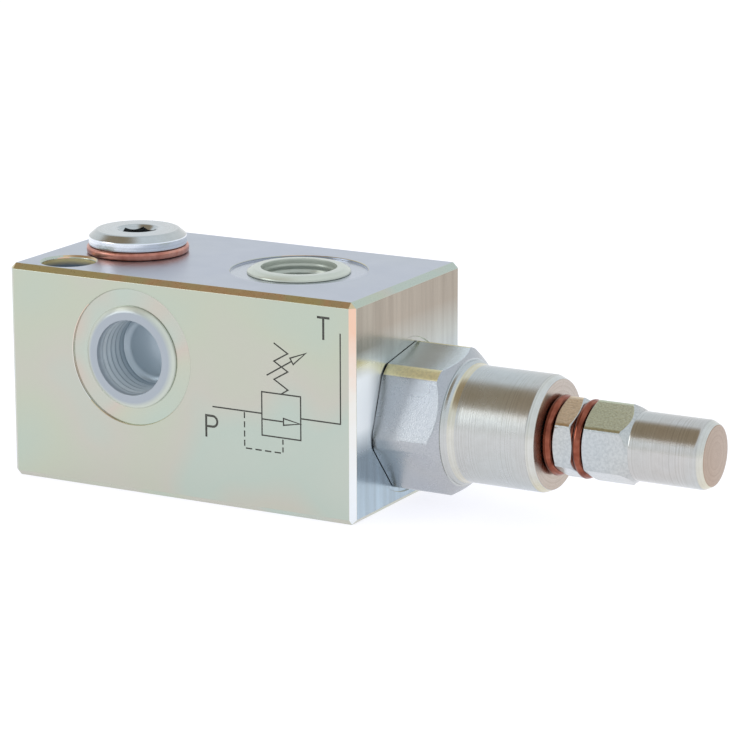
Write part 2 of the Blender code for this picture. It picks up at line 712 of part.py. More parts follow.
def main():
    for item in list(bpy.data.objects):
        bpy.data.objects.remove(item)
    materials = make_materials()
    bright = materials["plated_bright"]
    copper = materials["copper"]
    hard_steel = materials["hard_steel"]
    make_valve_body(materials["plated_block"])
    make_port_cap("pressure_port_cap", materials["clear_plastic"], PRESSURE_PORT_PLACE)
    make_port_cap("tank_port_cap", materials["clear_plastic"], TANK_PORT_PLACE)
    make_port_plug(bright)
    make_plug_washer(copper)
    make_spring_housing(bright)
    make_crush_ring(
        "adjuster_washer", ADJUSTER_WASHER_START, ADJUSTER_WASHER_END, ADJUSTER_WASHER_RADIUS, copper
    )
    make_lock_nut(bright)
    make_crush_ring("cap_washer", CAP_WASHER_START, CAP_WASHER_END, CAP_WASHER_RADIUS, copper)
    make_cap_nut(bright)
    make_adjusting_screw(hard_steel)
    make_valve_seat(hard_steel)
    make_poppet(hard_steel)
    make_centring_ball(hard_steel)
    make_spring_seat(hard_steel)
    make_main_spring(materials["spring_steel"])
    make_spring_shim(hard_steel)
    make_upper_spring_plate(hard_steel)
    make_seals(materials["rubber"], materials["white_plastic"])


main()
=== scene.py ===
"""Looks of the hydraulic relief valve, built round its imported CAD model.

Every visible node is replaced by a finer piece of the same size. Lengths are in millimetres until a mesh
is made, and the frame is the CAD's: +X along the cartridge, -Y out of the face with the pressure port,
+Z up, and the origin in the middle of the block's bottom face.
"""

import math

import bmesh
import bpy
from mathutils import Matrix, Vector


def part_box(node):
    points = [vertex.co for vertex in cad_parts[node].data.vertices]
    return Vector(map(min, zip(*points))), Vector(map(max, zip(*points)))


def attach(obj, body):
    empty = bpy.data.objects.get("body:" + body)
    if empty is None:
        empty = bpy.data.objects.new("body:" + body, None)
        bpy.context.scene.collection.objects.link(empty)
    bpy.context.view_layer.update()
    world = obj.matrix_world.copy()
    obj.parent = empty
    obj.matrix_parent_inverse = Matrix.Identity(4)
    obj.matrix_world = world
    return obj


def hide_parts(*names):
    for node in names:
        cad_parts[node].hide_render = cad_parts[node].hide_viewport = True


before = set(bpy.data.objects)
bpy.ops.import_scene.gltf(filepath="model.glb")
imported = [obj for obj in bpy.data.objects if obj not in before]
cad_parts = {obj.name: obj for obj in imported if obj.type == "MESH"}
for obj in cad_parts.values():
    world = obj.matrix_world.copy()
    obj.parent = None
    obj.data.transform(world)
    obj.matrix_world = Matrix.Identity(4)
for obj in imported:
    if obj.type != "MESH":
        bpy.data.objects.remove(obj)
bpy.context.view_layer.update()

MM = 0.001


def corners_of(node):
    """The lowest and highest corner of a CAD node, in millimetres."""
    return [tuple(round(value / MM, 2) for value in corner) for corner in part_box(node)]


def middle_of(node, axis):
    """Where a CAD node's middle lies along X, Y or Z, in millimetres."""
    low, high = (corner["XYZ".index(axis)] for corner in corners_of(node))
    return round((low + high) / 2, 2)


# Block and its faces
RIGHT_FACE = corners_of("valve_body")[1][0]
BLOCK_SIDE = corners_of("valve_body")[1][2]
FRONT_FACE = -BLOCK_SIDE / 2
BLOCK_EDGE = 1.0
EDGE_ROUNDING = 0.06
AXIS_Z = middle_of("spring_housing", "Z")
PRESSURE_PORT = Vector(
    (middle_of("pressure_port_cap", "X"), FRONT_FACE, middle_of("pressure_port_cap", "Z"))
)
TANK_PORT = Vector((middle_of("tank_port_cap", "X"), 0.0, BLOCK_SIDE))
PLUG_PORT = Vector((middle_of("port_plug_washer", "X"), 0.0, BLOCK_SIDE))
MOUNTING_HOLES = (Vector((-27.2, -13.4, 0.0)), Vector((-27.2, 13.4, 0.0)))
MOUNTING_RADIUS = 4.9

# G 3/8 ports: each has a spot face, a chamfer for the plastic plug's flange, a thread and a drilling.
SPOT_FACE_RADIUS = 12.5
SPOT_FACE_DEPTH = 0.4
FLANGE_RADIUS = 9.45
PORT_THREAD_DEPTH = 12.5
PORT_DRILL_RADIUS = 5.5
PRESSURE_DRILL_DEPTH = 23.0
TANK_DRILL_DEPTH = 22.0

# Places along X of the cartridge's outer pieces
HOUSING_SEAT = 35.7
HEX_START = 35.84
HEX_END = 48.2
NOSE_START = 50.3
NOSE_BEVEL = 64.3
HOUSING_END = 65.7
CAP_HEX_END = 81.7
CAP_BEVEL = 94.1
CAP_END = corners_of("cap_nut")[1][0]
HOUSING_HEX_RADIUS = 13.25
NOSE_RADIUS = 10.45
NUT_HEX_RADIUS = 7.25
SCREW_BORE_RADIUS = 4.0

BALL_PLACE = middle_of("centring_ball", "X")
BALL_RADIUS = 2.0

# Threads: pitch, smallest and largest radius
G38 = (1.337, 7.4, 8.3)
G14 = (1.337, 5.6, 6.3)
M8 = (1.25, 3.1, 3.7)

# Hexagons: width across flats, and a corner's angle from +Y towards +Z
LARGE_HEX = (23.9, math.radians(10.1))
SMALL_HEX = (12.8, math.radians(31.3))
PLUG_SOCKET = 6.0
SCREW_SOCKET = 4.0

# Engraving on the front face
LINE_WIDTH = 0.26
LETTER_WIDTH = 0.42
LINE_DEPTH = 0.12
SYMBOL_X = 21.4
SYMBOL_Z = 18.3
SYMBOL_SIDE = 7.9

# Camera: its angles round the block's middle, its lens, and its offset to the right, up and back
CAMERA_AZIMUTH = math.radians(29.031)
CAMERA_ELEVATION = math.radians(13.779)
CAMERA_ROLL = math.radians(-0.149)
FILM_WIDTH = 36.0
FOCAL_LENGTH = 166.78
CAMERA_OFFSET = Vector((23.91, 0.523, 622.2))

# The ceiling's unlit patch: its direction, and the angles from there at which it starts to fade and ends
CEILING_MIDDLE = Vector((-0.471, -0.325, 0.819)).normalized()
CEILING_FADE = (math.radians(40), math.radians(20))

# The floor is lit from below too, so shadows on it stay faint.
FLOOR_GLOW = 0.76
FLOOR_GLOW_COLOUR = (1.02, 1.02, 1.08, 1.0)
FLOOR_SIZE = 6000.0
FLOOR_DROP = 0.02

STEPS = 128
FEW_STEPS = 96
FINE_STEPS = 360
SHARP_ANGLE = math.radians(32)

# Colour ramps of the materials: each stop is a position and a linear colour.
ZINC = (
    (0.25, (0.46, 0.535, 0.455)),
    (0.42, (0.50, 0.53, 0.43)),
    (0.52, (0.52, 0.515, 0.445)),
    (0.62, (0.47, 0.535, 0.47)),
    (0.78, (0.50, 0.54, 0.475)),
)
BRIGHT = (
    (0.25, (0.50, 0.55, 0.58)),
    (0.45, (0.54, 0.56, 0.55)),
    (0.60, (0.55, 0.54, 0.52)),
    (0.78, (0.49, 0.55, 0.60)),
)
SPOT_ZINC = (
    (0.25, (0.47, 0.54, 0.46)),
    (0.42, (0.52, 0.53, 0.43)),
    (0.52, (0.55, 0.50, 0.43)),
    (0.62, (0.48, 0.54, 0.47)),
    (0.78, (0.51, 0.55, 0.48)),
)
# The top face and the tank port's spot face: lavender, a painted reflection.
TOP_ZINC_PAINTED_REFLECTION = ((0.3, (0.45, 0.48, 0.55)), (0.7, (0.47, 0.50, 0.54)))
# Upward flats of the hexagons: their own colours, a painted reflection.
UPPER_FLAT_PAINTED_REFLECTION = ((0.3, (0.66, 0.74, 0.78)), (0.7, (0.72, 0.76, 0.76)))
OLIVE_PAINTED_REFLECTION = ((0.3, (0.57, 0.60, 0.45)), (0.7, (0.62, 0.62, 0.50)))
UMBER_PAINTED_REFLECTION = ((0.3, (0.68, 0.54, 0.38)), (0.7, (0.72, 0.58, 0.44)))
# Bevels and fillets at the ends of the turned parts: a painted highlight.
PALE_GOLD_PAINTED_HIGHLIGHT = ((0.35, (0.66, 0.62, 0.47)), (0.65, (0.60, 0.63, 0.66)))
FLAT = ((0.25, (0.44, 0.47, 0.51)), (0.5, (0.48, 0.49, 0.50)), (0.78, (0.43, 0.47, 0.52)))
# The side of the plug's head: nearly white, a painted reflection.
WHITE_ZINC_PAINTED_REFLECTION = ((0.3, (0.78, 0.83, 0.90)), (0.7, (0.84, 0.87, 0.90)))
# Corners of the upper flats: bright gold, a painted highlight.
STRIP_PAINTED_HIGHLIGHT = ((0.3, (0.92, 0.86, 0.56)), (0.7, (0.90, 0.86, 0.66)))
PEACH = ((0.3, (0.50, 0.42, 0.35)), (0.7, (0.49, 0.44, 0.39)))
# The block's ends: blue low down and tan higher up, a painted reflection.
SAWN_PAINTED_REFLECTION = ((0.0, (0.50, 0.62, 0.70)), (0.5, (0.50, 0.52, 0.48)), (0.8, (0.40, 0.35, 0.28)))
# Painted highlight: the brighter front part of the right end.
SAWN_PAINTED_HIGHLIGHT = (
    (0.0, (0.50, 0.62, 0.70)),
    (0.14, (0.94, 0.98, 1.0)),
    (0.5, (1.0, 1.0, 0.94)),
    (0.66, (0.40, 0.36, 0.29)),
)
# Mounting hole walls: a painted reflection near the mouth and painted shade deeper down.
HOLE_WALL_PAINTED_LIGHT = ((0.1, (0.24, 0.32, 0.42)), (0.45, (0.60, 0.56, 0.44)), (0.8, (1.0, 0.88, 0.50)))
# The upright front-right edge: whitish below and pink above, a painted reflection.
CORNER_PAINTED_REFLECTION = ((0.2, (0.80, 0.84, 0.86)), (0.6, (0.78, 0.76, 0.70)), (0.9, (0.82, 0.56, 0.42)))
TAN = ((0.3, (0.42, 0.31, 0.23)), (0.7, (0.41, 0.34, 0.28)))
# The top front edge: gold-brown, a painted reflection.
TOP_EDGE_PAINTED_REFLECTION = (
    (0.2, (0.66, 0.56, 0.28)),
    (0.45, (0.60, 0.56, 0.34)),
    (0.6, (0.68, 0.50, 0.32)),
    (0.8, (0.52, 0.55, 0.36)),
)
PALE_COPPER = ((0.3, (0.42, 0.16, 0.12)), (0.5, (0.55, 0.25, 0.19)), (0.75, (0.68, 0.40, 0.33)))
DARK_COPPER = ((0.3, (0.17, 0.045, 0.028)), (0.5, (0.25, 0.075, 0.045)), (0.75, (0.36, 0.13, 0.085)))

# Colours of the plastic plugs from the bottom of the cup to its flange; the darker bottom is partly the
# dark bore seen through the plastic and partly painted shade.
FRONT_CUP = (
    (0.0, (0.25, 0.33, 0.41)),
    (0.06, (0.38, 0.46, 0.52)),
    (0.35, (0.60, 0.66, 0.70)),
    (0.85, (0.60, 0.65, 0.68)),
    (0.97, (0.37, 0.41, 0.45)),
)
CLEAR_RIM = (0.56, 0.60, 0.53)
TOP_CUP = (
    (0.0, (0.20, 0.26, 0.30)),
    (0.35, (0.42, 0.46, 0.42)),
    (0.80, (0.50, 0.54, 0.48)),
    (0.97, (0.50, 0.54, 0.48)),
)

# Local X, Y and Z become world Y, Z and X, so a profile's height is its place along X.
CARTRIDGE = Matrix.Translation((0.0, 0.0, AXIS_Z)) @ Matrix(((0, 0, 1), (1, 0, 0), (0, 1, 0))).to_4x4()
FACING_FRONT = Matrix.Translation(PRESSURE_PORT) @ Matrix.Rotation(math.pi / 2, 4, "X")
ON_TOP = Matrix.Translation(TANK_PORT)
IN_PLUG_PORT = Matrix.Translation(PLUG_PORT)


# ---- shapes


def rounded(corners, steps=4):
    """A closed profile from (height, radius, rounding) corners, each rounded by a short curve."""
    profile = []
    for i, (height, radius, rounding) in enumerate(corners):
        corner = Vector((height, radius))
        if rounding == 0:
            profile.append((height, radius))
            continue
        before = Vector(corners[i - 1][:2]) - corner
        after = Vector(corners[(i + 1) % len(corners)][:2]) - corner
        reach = min(rounding, 0.45 * before.length, 0.45 * after.length)
        start = corner + before.normalized() * reach
        end = corner + after.normalized() * reach
        for step in range(steps + 1):
            t = step / steps
            point = start * (1 - t) ** 2 + corner * 2 * t * (1 - t) + end * t**2
            profile.append((point.x, point.y))
    return profile


def straight(*corners):
    """The same for (height, radius) corners that stay sharp."""
    return [(height, radius, 0) for height, radius in corners]


def closed_mesh(vertices, faces):
    builder = bmesh.new()
    made = [builder.verts.new(vertex) for vertex in vertices]
    for face in faces:
        corners = list(dict.fromkeys(face))
        if len(corners) > 2:
            builder.faces.new([made[i] for i in corners])
    bmesh.ops.recalc_face_normals(builder, faces=builder.faces[:])
    return builder


def turned(profile, steps=STEPS, limit=None):
    """Spins a closed profile about local Z. limit(angle) is the most that a radius may be there."""
    vertices = []
    rings = []
    for height, radius in profile:
        if radius < 1e-6:
            rings.append([len(vertices)] * steps)
            vertices.append((0.0, 0.0, height))
            continue
        rings.append(list(range(len(vertices), len(vertices) + steps)))
        for step in range(steps):
            angle = math.tau * step / steps
            reach = soft_minimum(radius, limit(angle)) if limit else radius
            vertices.append((reach * math.cos(angle), reach * math.sin(angle), height))
    faces = []
    for ring, following in zip(rings, rings[1:] + rings[:1]):
        for i in range(steps):
            j = (i + 1) % steps
            faces.append((ring[i], ring[j], following[j], following[i]))
    return closed_mesh(vertices, faces)


def soft_minimum(a, b, rounding=0.14):
    """The smaller of two lengths, with a small fillet where they are nearly equal."""
    overlap = max(rounding - abs(a - b), 0.0) / rounding
    return min(a, b) - overlap**2 * rounding / 4


def hexagon(size):
    """How far out a hexagonal bar reaches at each angle, for turned()."""
    across_flats, corner = size
    sector = math.pi / 3

    def reach(angle):
        from_flat = (angle - corner) % sector - sector / 2
        return across_flats / 2 / math.cos(from_flat)

    return reach


def spread(start, end, count):
    """Points between two (height, radius) corners, so that flats meet a cone along a smooth curve."""
    return [
        (start[0] + (end[0] - start[0]) * i / count, start[1] + (end[1] - start[1]) * i / count)
        for i in range(count + 1)
    ]


def threaded_rod(thread, start, end, run_out, steps=96, rows=8):
    """A rod with a right-hand helical thread from start to end, tapering away over run_out at start.

    Each row of points climbs by one pitch in a turn, so crests and roots are clean lines."""
    pitch, low, high = thread
    count = math.ceil((end - start) / pitch) * rows
    columns = [[] for _ in range(steps)]
    vertices = []
    for step in range(steps):
        angle = math.tau * step / steps
        for row in range(count + rows + 1):
            height = start + pitch * (row / rows + step / steps - 1)
            wave = math.cos(math.tau * row / rows)
            shape = 0.5 + 0.5 * math.tanh(1.6 * wave) / math.tanh(1.6)
            fade = min(max((height - start) / run_out, 0.0), 1.0)
            radius = low - 0.3 + (0.3 + (high - low) * shape) * fade
            columns[step].append(len(vertices))
            vertices.append((radius * math.cos(angle), radius * math.sin(angle), height))
    faces = []
    for step in range(steps - 1):
        for row in range(count + rows):
            left, right = columns[step], columns[step + 1]
            faces.append((left[row], right[row], right[row + 1], left[row + 1]))
    last, first = columns[-1], columns[0]
    for row in range(count):
        faces.append((last[row], first[row + rows], first[row + rows + 1], last[row + 1]))
    bottom = [columns[step][0] for step in range(steps)] + first[rows:0:-1]
    top_last = [last[row] for row in range(count, count + rows + 1)]
    top = [columns[step][-1] for step in range(steps)] + top_last[-2:0:-1]
    for loop, height in ((bottom, start - pitch / 2), (top, end + pitch / 2)):
        centre = len(vertices)
        vertices.append((0.0, 0.0, height))
        for i, corner in enumerate(loop):
            faces.append((corner, loop[(i + 1) % len(loop)], centre))
    return closed_mesh(vertices, faces)


def ribbon(points, width, closed=False):
    """A line of this width along points on the front face, as a prism that cuts to LINE_DEPTH."""
    line = [Vector(point) for point in points]
    count = len(line)
    sides = []
    for i, point in enumerate(line):
        before = (point - line[i - 1]).normalized() if closed or i > 0 else None
        after = (line[(i + 1) % count] - point).normalized() if closed or i < count - 1 else None
        before = before or after
        after = after or before
        across = Vector((-before.y - after.y, before.x + after.x)).normalized()
        reach = width / 2 / max(across.dot(Vector((-after.y, after.x))), 0.3)
        sides.append((point + across * reach, point - across * reach))
    vertices = []
    for depth in (FRONT_FACE - 0.2, FRONT_FACE + LINE_DEPTH):
        for side in sides:
            vertices.extend((point.x, depth, point.y) for point in side)
    layer = 2 * count
    faces = []
    for i in range(count if closed else count - 1):
        a, b = 2 * i, 2 * ((i + 1) % count)
        faces.append((a, b, b + 1, a + 1))
        faces.append((a + layer, a + 1 + layer, b + 1 + layer, b + layer))
        faces.append((a, a + layer, b + layer, b))
        faces.append((a + 1, b + 1, b + 1 + layer, a + 1 + layer))
    if not closed:
        for i in (0, 2 * (count - 1)):
            faces.append((i, i + 1, i + 1 + layer, i + layer))
    return closed_mesh(vertices, faces)


# ---- pieces


def new_object(name, builder, place):
    mesh = bpy.data.meshes.new(name)
    builder.to_mesh(mesh)
    builder.free()
    to_world = place.copy()
    to_world.translation *= MM
    mesh.transform(Matrix.Scale(MM, 4))
    mesh.transform(to_world)
    item = bpy.data.objects.new(name, mesh)
    bpy.context.scene.collection.objects.link(item)
    return item


def combine(item, others, operation):
    """Applies one Boolean for each of these (mesh builder, place) shapes."""
    helpers = []
    for builder, place in others:
        helper = new_object("helper", builder, place)
        modifier = item.modifiers.new("boolean", "BOOLEAN")
        modifier.operation = operation
        modifier.object = helper
        helpers.append(helper)
    graph = bpy.context.evaluated_depsgraph_get()
    result = bpy.data.meshes.new_from_object(item.evaluated_get(graph))
    item.modifiers.clear()
    item.data = result
    result.name = item.name
    for helper in helpers:
        bpy.data.objects.remove(helper)


def finished(item, body, node, materials, names, choose=None):
    """Shades a piece and puts it in the place of its CAD node.

    Its materials are the named ones: the first everywhere, unless choose(centre, normal) names a face's."""
    mesh = item.data
    mesh.materials.clear()
    for name in names:
        mesh.materials.append(materials[name])
    if choose:
        for face in mesh.polygons:
            face.material_index = names.index(choose(face.center / MM, face.normal))
    mesh.shade_smooth()
    mesh.set_sharp_from_angle(angle=SHARP_ANGLE)
    flatten = item.modifiers.new("flat faces", "WEIGHTED_NORMAL")
    flatten.keep_sharp = True
    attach(item, body)
    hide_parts(node)
    return item


def port_hole(drill_depth):
    """Spot face, chamfer, thread bore and drilling of a G 3/8 port."""
    bore_radius = G38[1]
    profile = [
        (1.0, 0.0),
        (1.0, SPOT_FACE_RADIUS + 0.1),
        (0.0, SPOT_FACE_RADIUS + 0.08),
        (-0.08, SPOT_FACE_RADIUS),
        (0.04 - SPOT_FACE_DEPTH, SPOT_FACE_RADIUS),
        (-SPOT_FACE_DEPTH, SPOT_FACE_RADIUS - 0.04),
        (-SPOT_FACE_DEPTH, FLANGE_RADIUS - 0.1),
        (-0.43, 9.2),
        (-0.52, 9.05),
        (-1.35, bore_radius + 0.15),
        (-1.6, bore_radius),
        (-PORT_THREAD_DEPTH, bore_radius),
        (-PORT_THREAD_DEPTH - 1.0, PORT_DRILL_RADIUS),
        (-drill_depth, PORT_DRILL_RADIUS),
        (-drill_depth - 1.5, 0.0),
    ]
    return turned(profile)


def strokes_of_symbol():
    """The standard sign for a relief valve: a box, its spring with an arrow, and its lines."""
    half = SYMBOL_SIDE / 2
    left, right = SYMBOL_X - half, SYMBOL_X + half
    low, high = SYMBOL_Z - half, SYMBOL_Z + half
    thin = LINE_WIDTH
    strokes = [
        ribbon([(left, low), (right, low), (right, high), (left, high)], thin, closed=True),
        ribbon([(left - 10.2, SYMBOL_Z), (left - thin / 3, SYMBOL_Z)], thin),
        ribbon([(right, SYMBOL_Z), (right + 8.0, SYMBOL_Z), (right + 8.0, SYMBOL_Z + 16.2)], thin),
    ]
    swing, rise = 1.4, 1.64
    spring = [(SYMBOL_X - swing * (-1) ** i, high + 0.9 + rise * i) for i in range(1, 7)]
    strokes.append(ribbon([(SYMBOL_X, high)] + [(x, z - rise) for x, z in spring], thin))
    strokes += arrow(Vector((SYMBOL_X - 2.9, high + 3.1)), Vector((SYMBOL_X + 5.0, high + 7.9)), 3.3)
    strokes += arrow(Vector((left, SYMBOL_Z - 1.0)), Vector((right - 0.1, SYMBOL_Z - 1.0)), 3.4)
    strokes += dashes([(left - 3.6, SYMBOL_Z), (left - 3.6, low - 2.8)], 4)
    strokes += dashes([(left - 3.6, low - 2.8), (SYMBOL_X + 0.3, low - 2.8)], 4)
    strokes += dashes([(SYMBOL_X + 0.3, low - 2.8), (SYMBOL_X + 0.3, low)], 2)
    return strokes


def arrow(tail, tip, head_length):
    along = (tip - tail).normalized()
    across = Vector((-along.y, along.x))
    neck = tip - along * head_length
    head = [tip, neck + across * 0.62, neck - across * 0.62]
    return [ribbon([tail, neck], LINE_WIDTH), ribbon(head, LINE_WIDTH, closed=True)]


def dashes(ends, count):
    start, end = (Vector(point) for point in ends)
    step = (end - start) / count
    return [
        ribbon([start + step * (i + 0.12), start + step * (i + 0.78)], LINE_WIDTH) for i in range(count)
    ]


def strokes_of_letters():
    """P beside the pressure line and T at the end of the tank line."""
    wide = LETTER_WIDTH
    height = 3.95
    t_top, t_middle = 36.95, 30.0
    p_left, p_low = 5.9, 12.6
    p_top = p_low + height
    arc = [
        (p_left + 1.35 + 0.98 * math.sin(math.radians(a)), p_top - 0.98 + 0.98 * math.cos(math.radians(a)))
        for a in range(0, 181, 20)
    ]
    bowl = [(p_left, p_top)] + arc + [(p_left, p_top - 1.96)]
    return [
        ribbon([(t_middle - 1.25, t_top), (t_middle + 1.25, t_top)], wide),
        ribbon([(t_middle, t_top), (t_middle, t_top - height)], wide),
        ribbon([(p_left, p_low), (p_left, p_top + wide / 2)], wide),
        ribbon(bowl, wide),
    ]


def block_box():
    builder = bmesh.new()
    bmesh.ops.create_cube(builder, size=1.0)
    bmesh.ops.scale(builder, vec=(2 * RIGHT_FACE, BLOCK_SIDE, BLOCK_SIDE), verts=builder.verts[:])
    bmesh.ops.translate(builder, vec=(0.0, 0.0, BLOCK_SIDE / 2), verts=builder.verts[:])
    bmesh.ops.bevel(builder, geom=builder.edges[:], offset=BLOCK_EDGE, segments=1, affect="EDGES")
    bmesh.ops.bevel(
        builder, geom=builder.edges[:], offset=EDGE_ROUNDING, segments=3, profile=0.5, affect="EDGES"
    )
    return builder


def make_block(materials):
    block = new_object("block", block_box(), Matrix.Identity(4))
    here = Matrix.Identity(4)
    combine(block, [(stroke, here) for stroke in strokes_of_symbol() + strokes_of_letters()], "DIFFERENCE")
    wide = MOUNTING_RADIUS + 0.4
    through = rounded(
        straight((41.0, 0.0), (41.0, wide), (40.0, wide))
        + [(39.6, MOUNTING_RADIUS, 0.15), (0.4, MOUNTING_RADIUS, 0.15)]
        + straight((0.0, wide), (-1.0, wide), (-1.0, 0.0))
    )
    cartridge_bore = rounded(
        straight((37.0, 0.0), (37.0, 14.06), (36.0, 14.06))
        + [(35.94, 14.0, 0), (35.7, 14.0, 0.05), (35.7, 11.9, 0.1), (33.8, 11.9, 0.1), (33.8, 10.0, 0)]
        + straight((20.0, 10.0), (19.0, 9.0), (5.0, 9.0), (5.0, 7.0), (-4.0, 7.0), (-4.0, 5.5))
        + straight((-25.0, 5.5), (-26.5, 0.0))
    )
    plug_bore = straight((1.0, 0.0), (1.0, 6.8), (0.0, 6.8), (-0.5, 6.55), (-13.0, 6.55))
    plug_bore += straight((-14.5, 4.8), (-27.0, 4.8), (-27.0, 0.0))
    holes = [(turned(through), Matrix.Translation(place)) for place in MOUNTING_HOLES]
    holes += [
        (turned(cartridge_bore), CARTRIDGE),
        (turned(rounded(plug_bore)), IN_PLUG_PORT),
        (port_hole(PRESSURE_DRILL_DEPTH), FACING_FRONT),
        (port_hole(TANK_DRILL_DEPTH), ON_TOP),
        (threaded_rod(G38, -PORT_THREAD_DEPTH + 0.5, 2.5, 1.5), FACING_FRONT),
        (threaded_rod(G38, -PORT_THREAD_DEPTH + 0.5, 2.5, 1.5), ON_TOP),
    ]
    combine(block, holes, "DIFFERENCE")
    names = ("plated_side", "sawn_end", "edge", "front_port", "top_port", "bore", "engraved")
    names += ("top_edge", "corner_edge", "hole_wall", "plated_top")
    finished(block, "block", "valve_body", materials, names, block_face)


def block_face(centre, normal):
    """Which of the block's materials a face has, by where it is and which way it looks."""
    from_front = math.hypot(centre.x - PRESSURE_PORT.x, centre.z - PRESSURE_PORT.z)
    from_tank = math.hypot(centre.x - TANK_PORT.x, centre.y - TANK_PORT.y)
    behind_front = centre.y - FRONT_FACE
    under_top = BLOCK_SIDE - centre.z
    if 0.05 < behind_front < 3.0 and from_front < SPOT_FACE_RADIUS + 0.2:
        return "front_port"
    if 0.05 < under_top < 3.0 and from_tank < SPOT_FACE_RADIUS + 0.2:
        return "top_port"
    skin = BLOCK_EDGE + 0.1
    beside_symbol = 3.0 < centre.x < RIGHT_FACE - skin and abs(centre.z - 24.0) < 14.5
    if 0.03 < behind_front < 0.2 and beside_symbol:
        return "engraved"
    flat = max(abs(normal.x), abs(normal.y), abs(normal.z)) > 0.995
    if abs(centre.x) > RIGHT_FACE - 0.4 and abs(normal.x) > 0.995:
        return "sawn_end"
    half = BLOCK_SIDE / 2
    outside = abs(centre.x) > RIGHT_FACE - skin or max(abs(centre.y), abs(centre.z - half)) > half - skin
    if outside and flat:
        # Upward faces get the lavender of a painted reflection.
        return "plated_top" if normal.z > 0.9 else "plated_side"
    if outside:
        # The top front edge gets a gold-brown painted reflection.
        if normal.y < -0.5 and normal.z > 0.5:
            return "top_edge"
        return "corner_edge" if normal.y < -0.5 and normal.x > 0.5 else "edge"
    in_mounting_hole = centre.x < -22.0 and abs(centre.y) > 7.5
    return "hole_wall" if in_mounting_hole else "bore"


def make_port_caps(materials):
    """Flanged plastic plugs: the inside of each cup follows the thread it sits in, as soft ribs."""
    outside = [(0.65, 6.9, 0.1), (0.6, 8.4, 0.3), (0.02, FLANGE_RADIUS - 0.09, 0.25)]
    outside += [(-0.36, FLANGE_RADIUS, 0.08)]
    outside += [(-0.36, 7.1, 0.1), (-9.0, 7.1, 0.5), (-9.0, 0.0, 0.0)]
    inside = [(-8.05, 0.0), (-8.15, 2.5), (-8.2, 5.0), (-8.1, 5.8), (-7.8, 6.2)]
    points, ribs_start, wall_radius, taper, rib_height = 60, -7.6, 6.45, 0.4, 0.11
    for i in range(points + 1):
        height = ribs_start - ribs_start * i / points
        strength = min(i, points - i, 10) / 10
        rib = rib_height * strength * math.cos(math.tau * height / G38[0])
        inside.append((height, wall_radius + taper * i / points + rib))
    profile = rounded(outside + straight(*inside))
    for name, node, body, place, material in (
        ("front_cap", "pressure_port_cap", "pressure_cap", FACING_FRONT, "front_plastic"),
        ("top_cap", "tank_port_cap", "tank_cap", ON_TOP, "top_plastic"),
    ):
        cap = new_object(name, turned(profile), place)
        finished(cap, body, node, materials, (material,))


def make_plug(materials):
    corners = straight((-11.0, 0.0), (-11.0, 4.9), (-10.3, 5.55), (-2.4, 5.55), (-2.0, 5.3))
    corners += [(1.5, 5.3, 0.1), (1.5, 9.05, 0.25), (3.2, 9.05, 0.25), (4.35, 7.65, 0.3)]
    corners += [(4.35, 3.85, 0.2), (3.3, 2.8, 0.0), (3.3, 0.0, 0.0)]
    plug = new_object("plug_screw", turned(rounded(corners)), IN_PLUG_PORT)
    thread = threaded_rod(G14, -10.6, -3.6, 0.8)
    combine(plug, [(thread, IN_PLUG_PORT)], "UNION")
    socket = hex_prism(PLUG_SOCKET, -0.65, 5.5, math.radians(15))
    combine(plug, [(socket, IN_PLUG_PORT)], "DIFFERENCE")
    names = ("turned_plug", "plug_side")
    finished(plug, "plug", "port_plug", materials, names, plug_face)


def plug_face(centre, normal):
    # The side of the head is whiter, a painted reflection.
    painted_reflection_band = 1.4 < centre.z - BLOCK_SIDE < 3.3 and abs(normal.z) < 0.5
    return "plug_side" if painted_reflection_band else "turned_plug"


def hex_prism(across_flats, low, high, corner_angle):
    limit = hexagon((across_flats, corner_angle - math.pi / 2))
    angles = [corner_angle - math.pi / 2 + i * math.pi / 3 for i in range(6)]
    vertices = []
    for height in (low, high):
        for angle in angles:
            radius = limit(angle)
            vertices.append((radius * math.cos(angle), radius * math.sin(angle), height))
    faces = [tuple(range(6)), tuple(range(6, 12))]
    faces += [(i, (i + 1) % 6, (i + 1) % 6 + 6, i + 6) for i in range(6)]
    return closed_mesh(vertices, faces)


def make_plug_seal(materials):
    corners = [(0.03, 6.8, 0.2), (0.03, 9.45, 0.5), (1.45, 9.45, 0.5), (1.45, 6.8, 0.2)]
    seal = new_object("plug_seal", turned(rounded(corners, 6)), IN_PLUG_PORT)
    finished(seal, "plug_ring", "port_plug_washer", materials, ("flat_copper",))


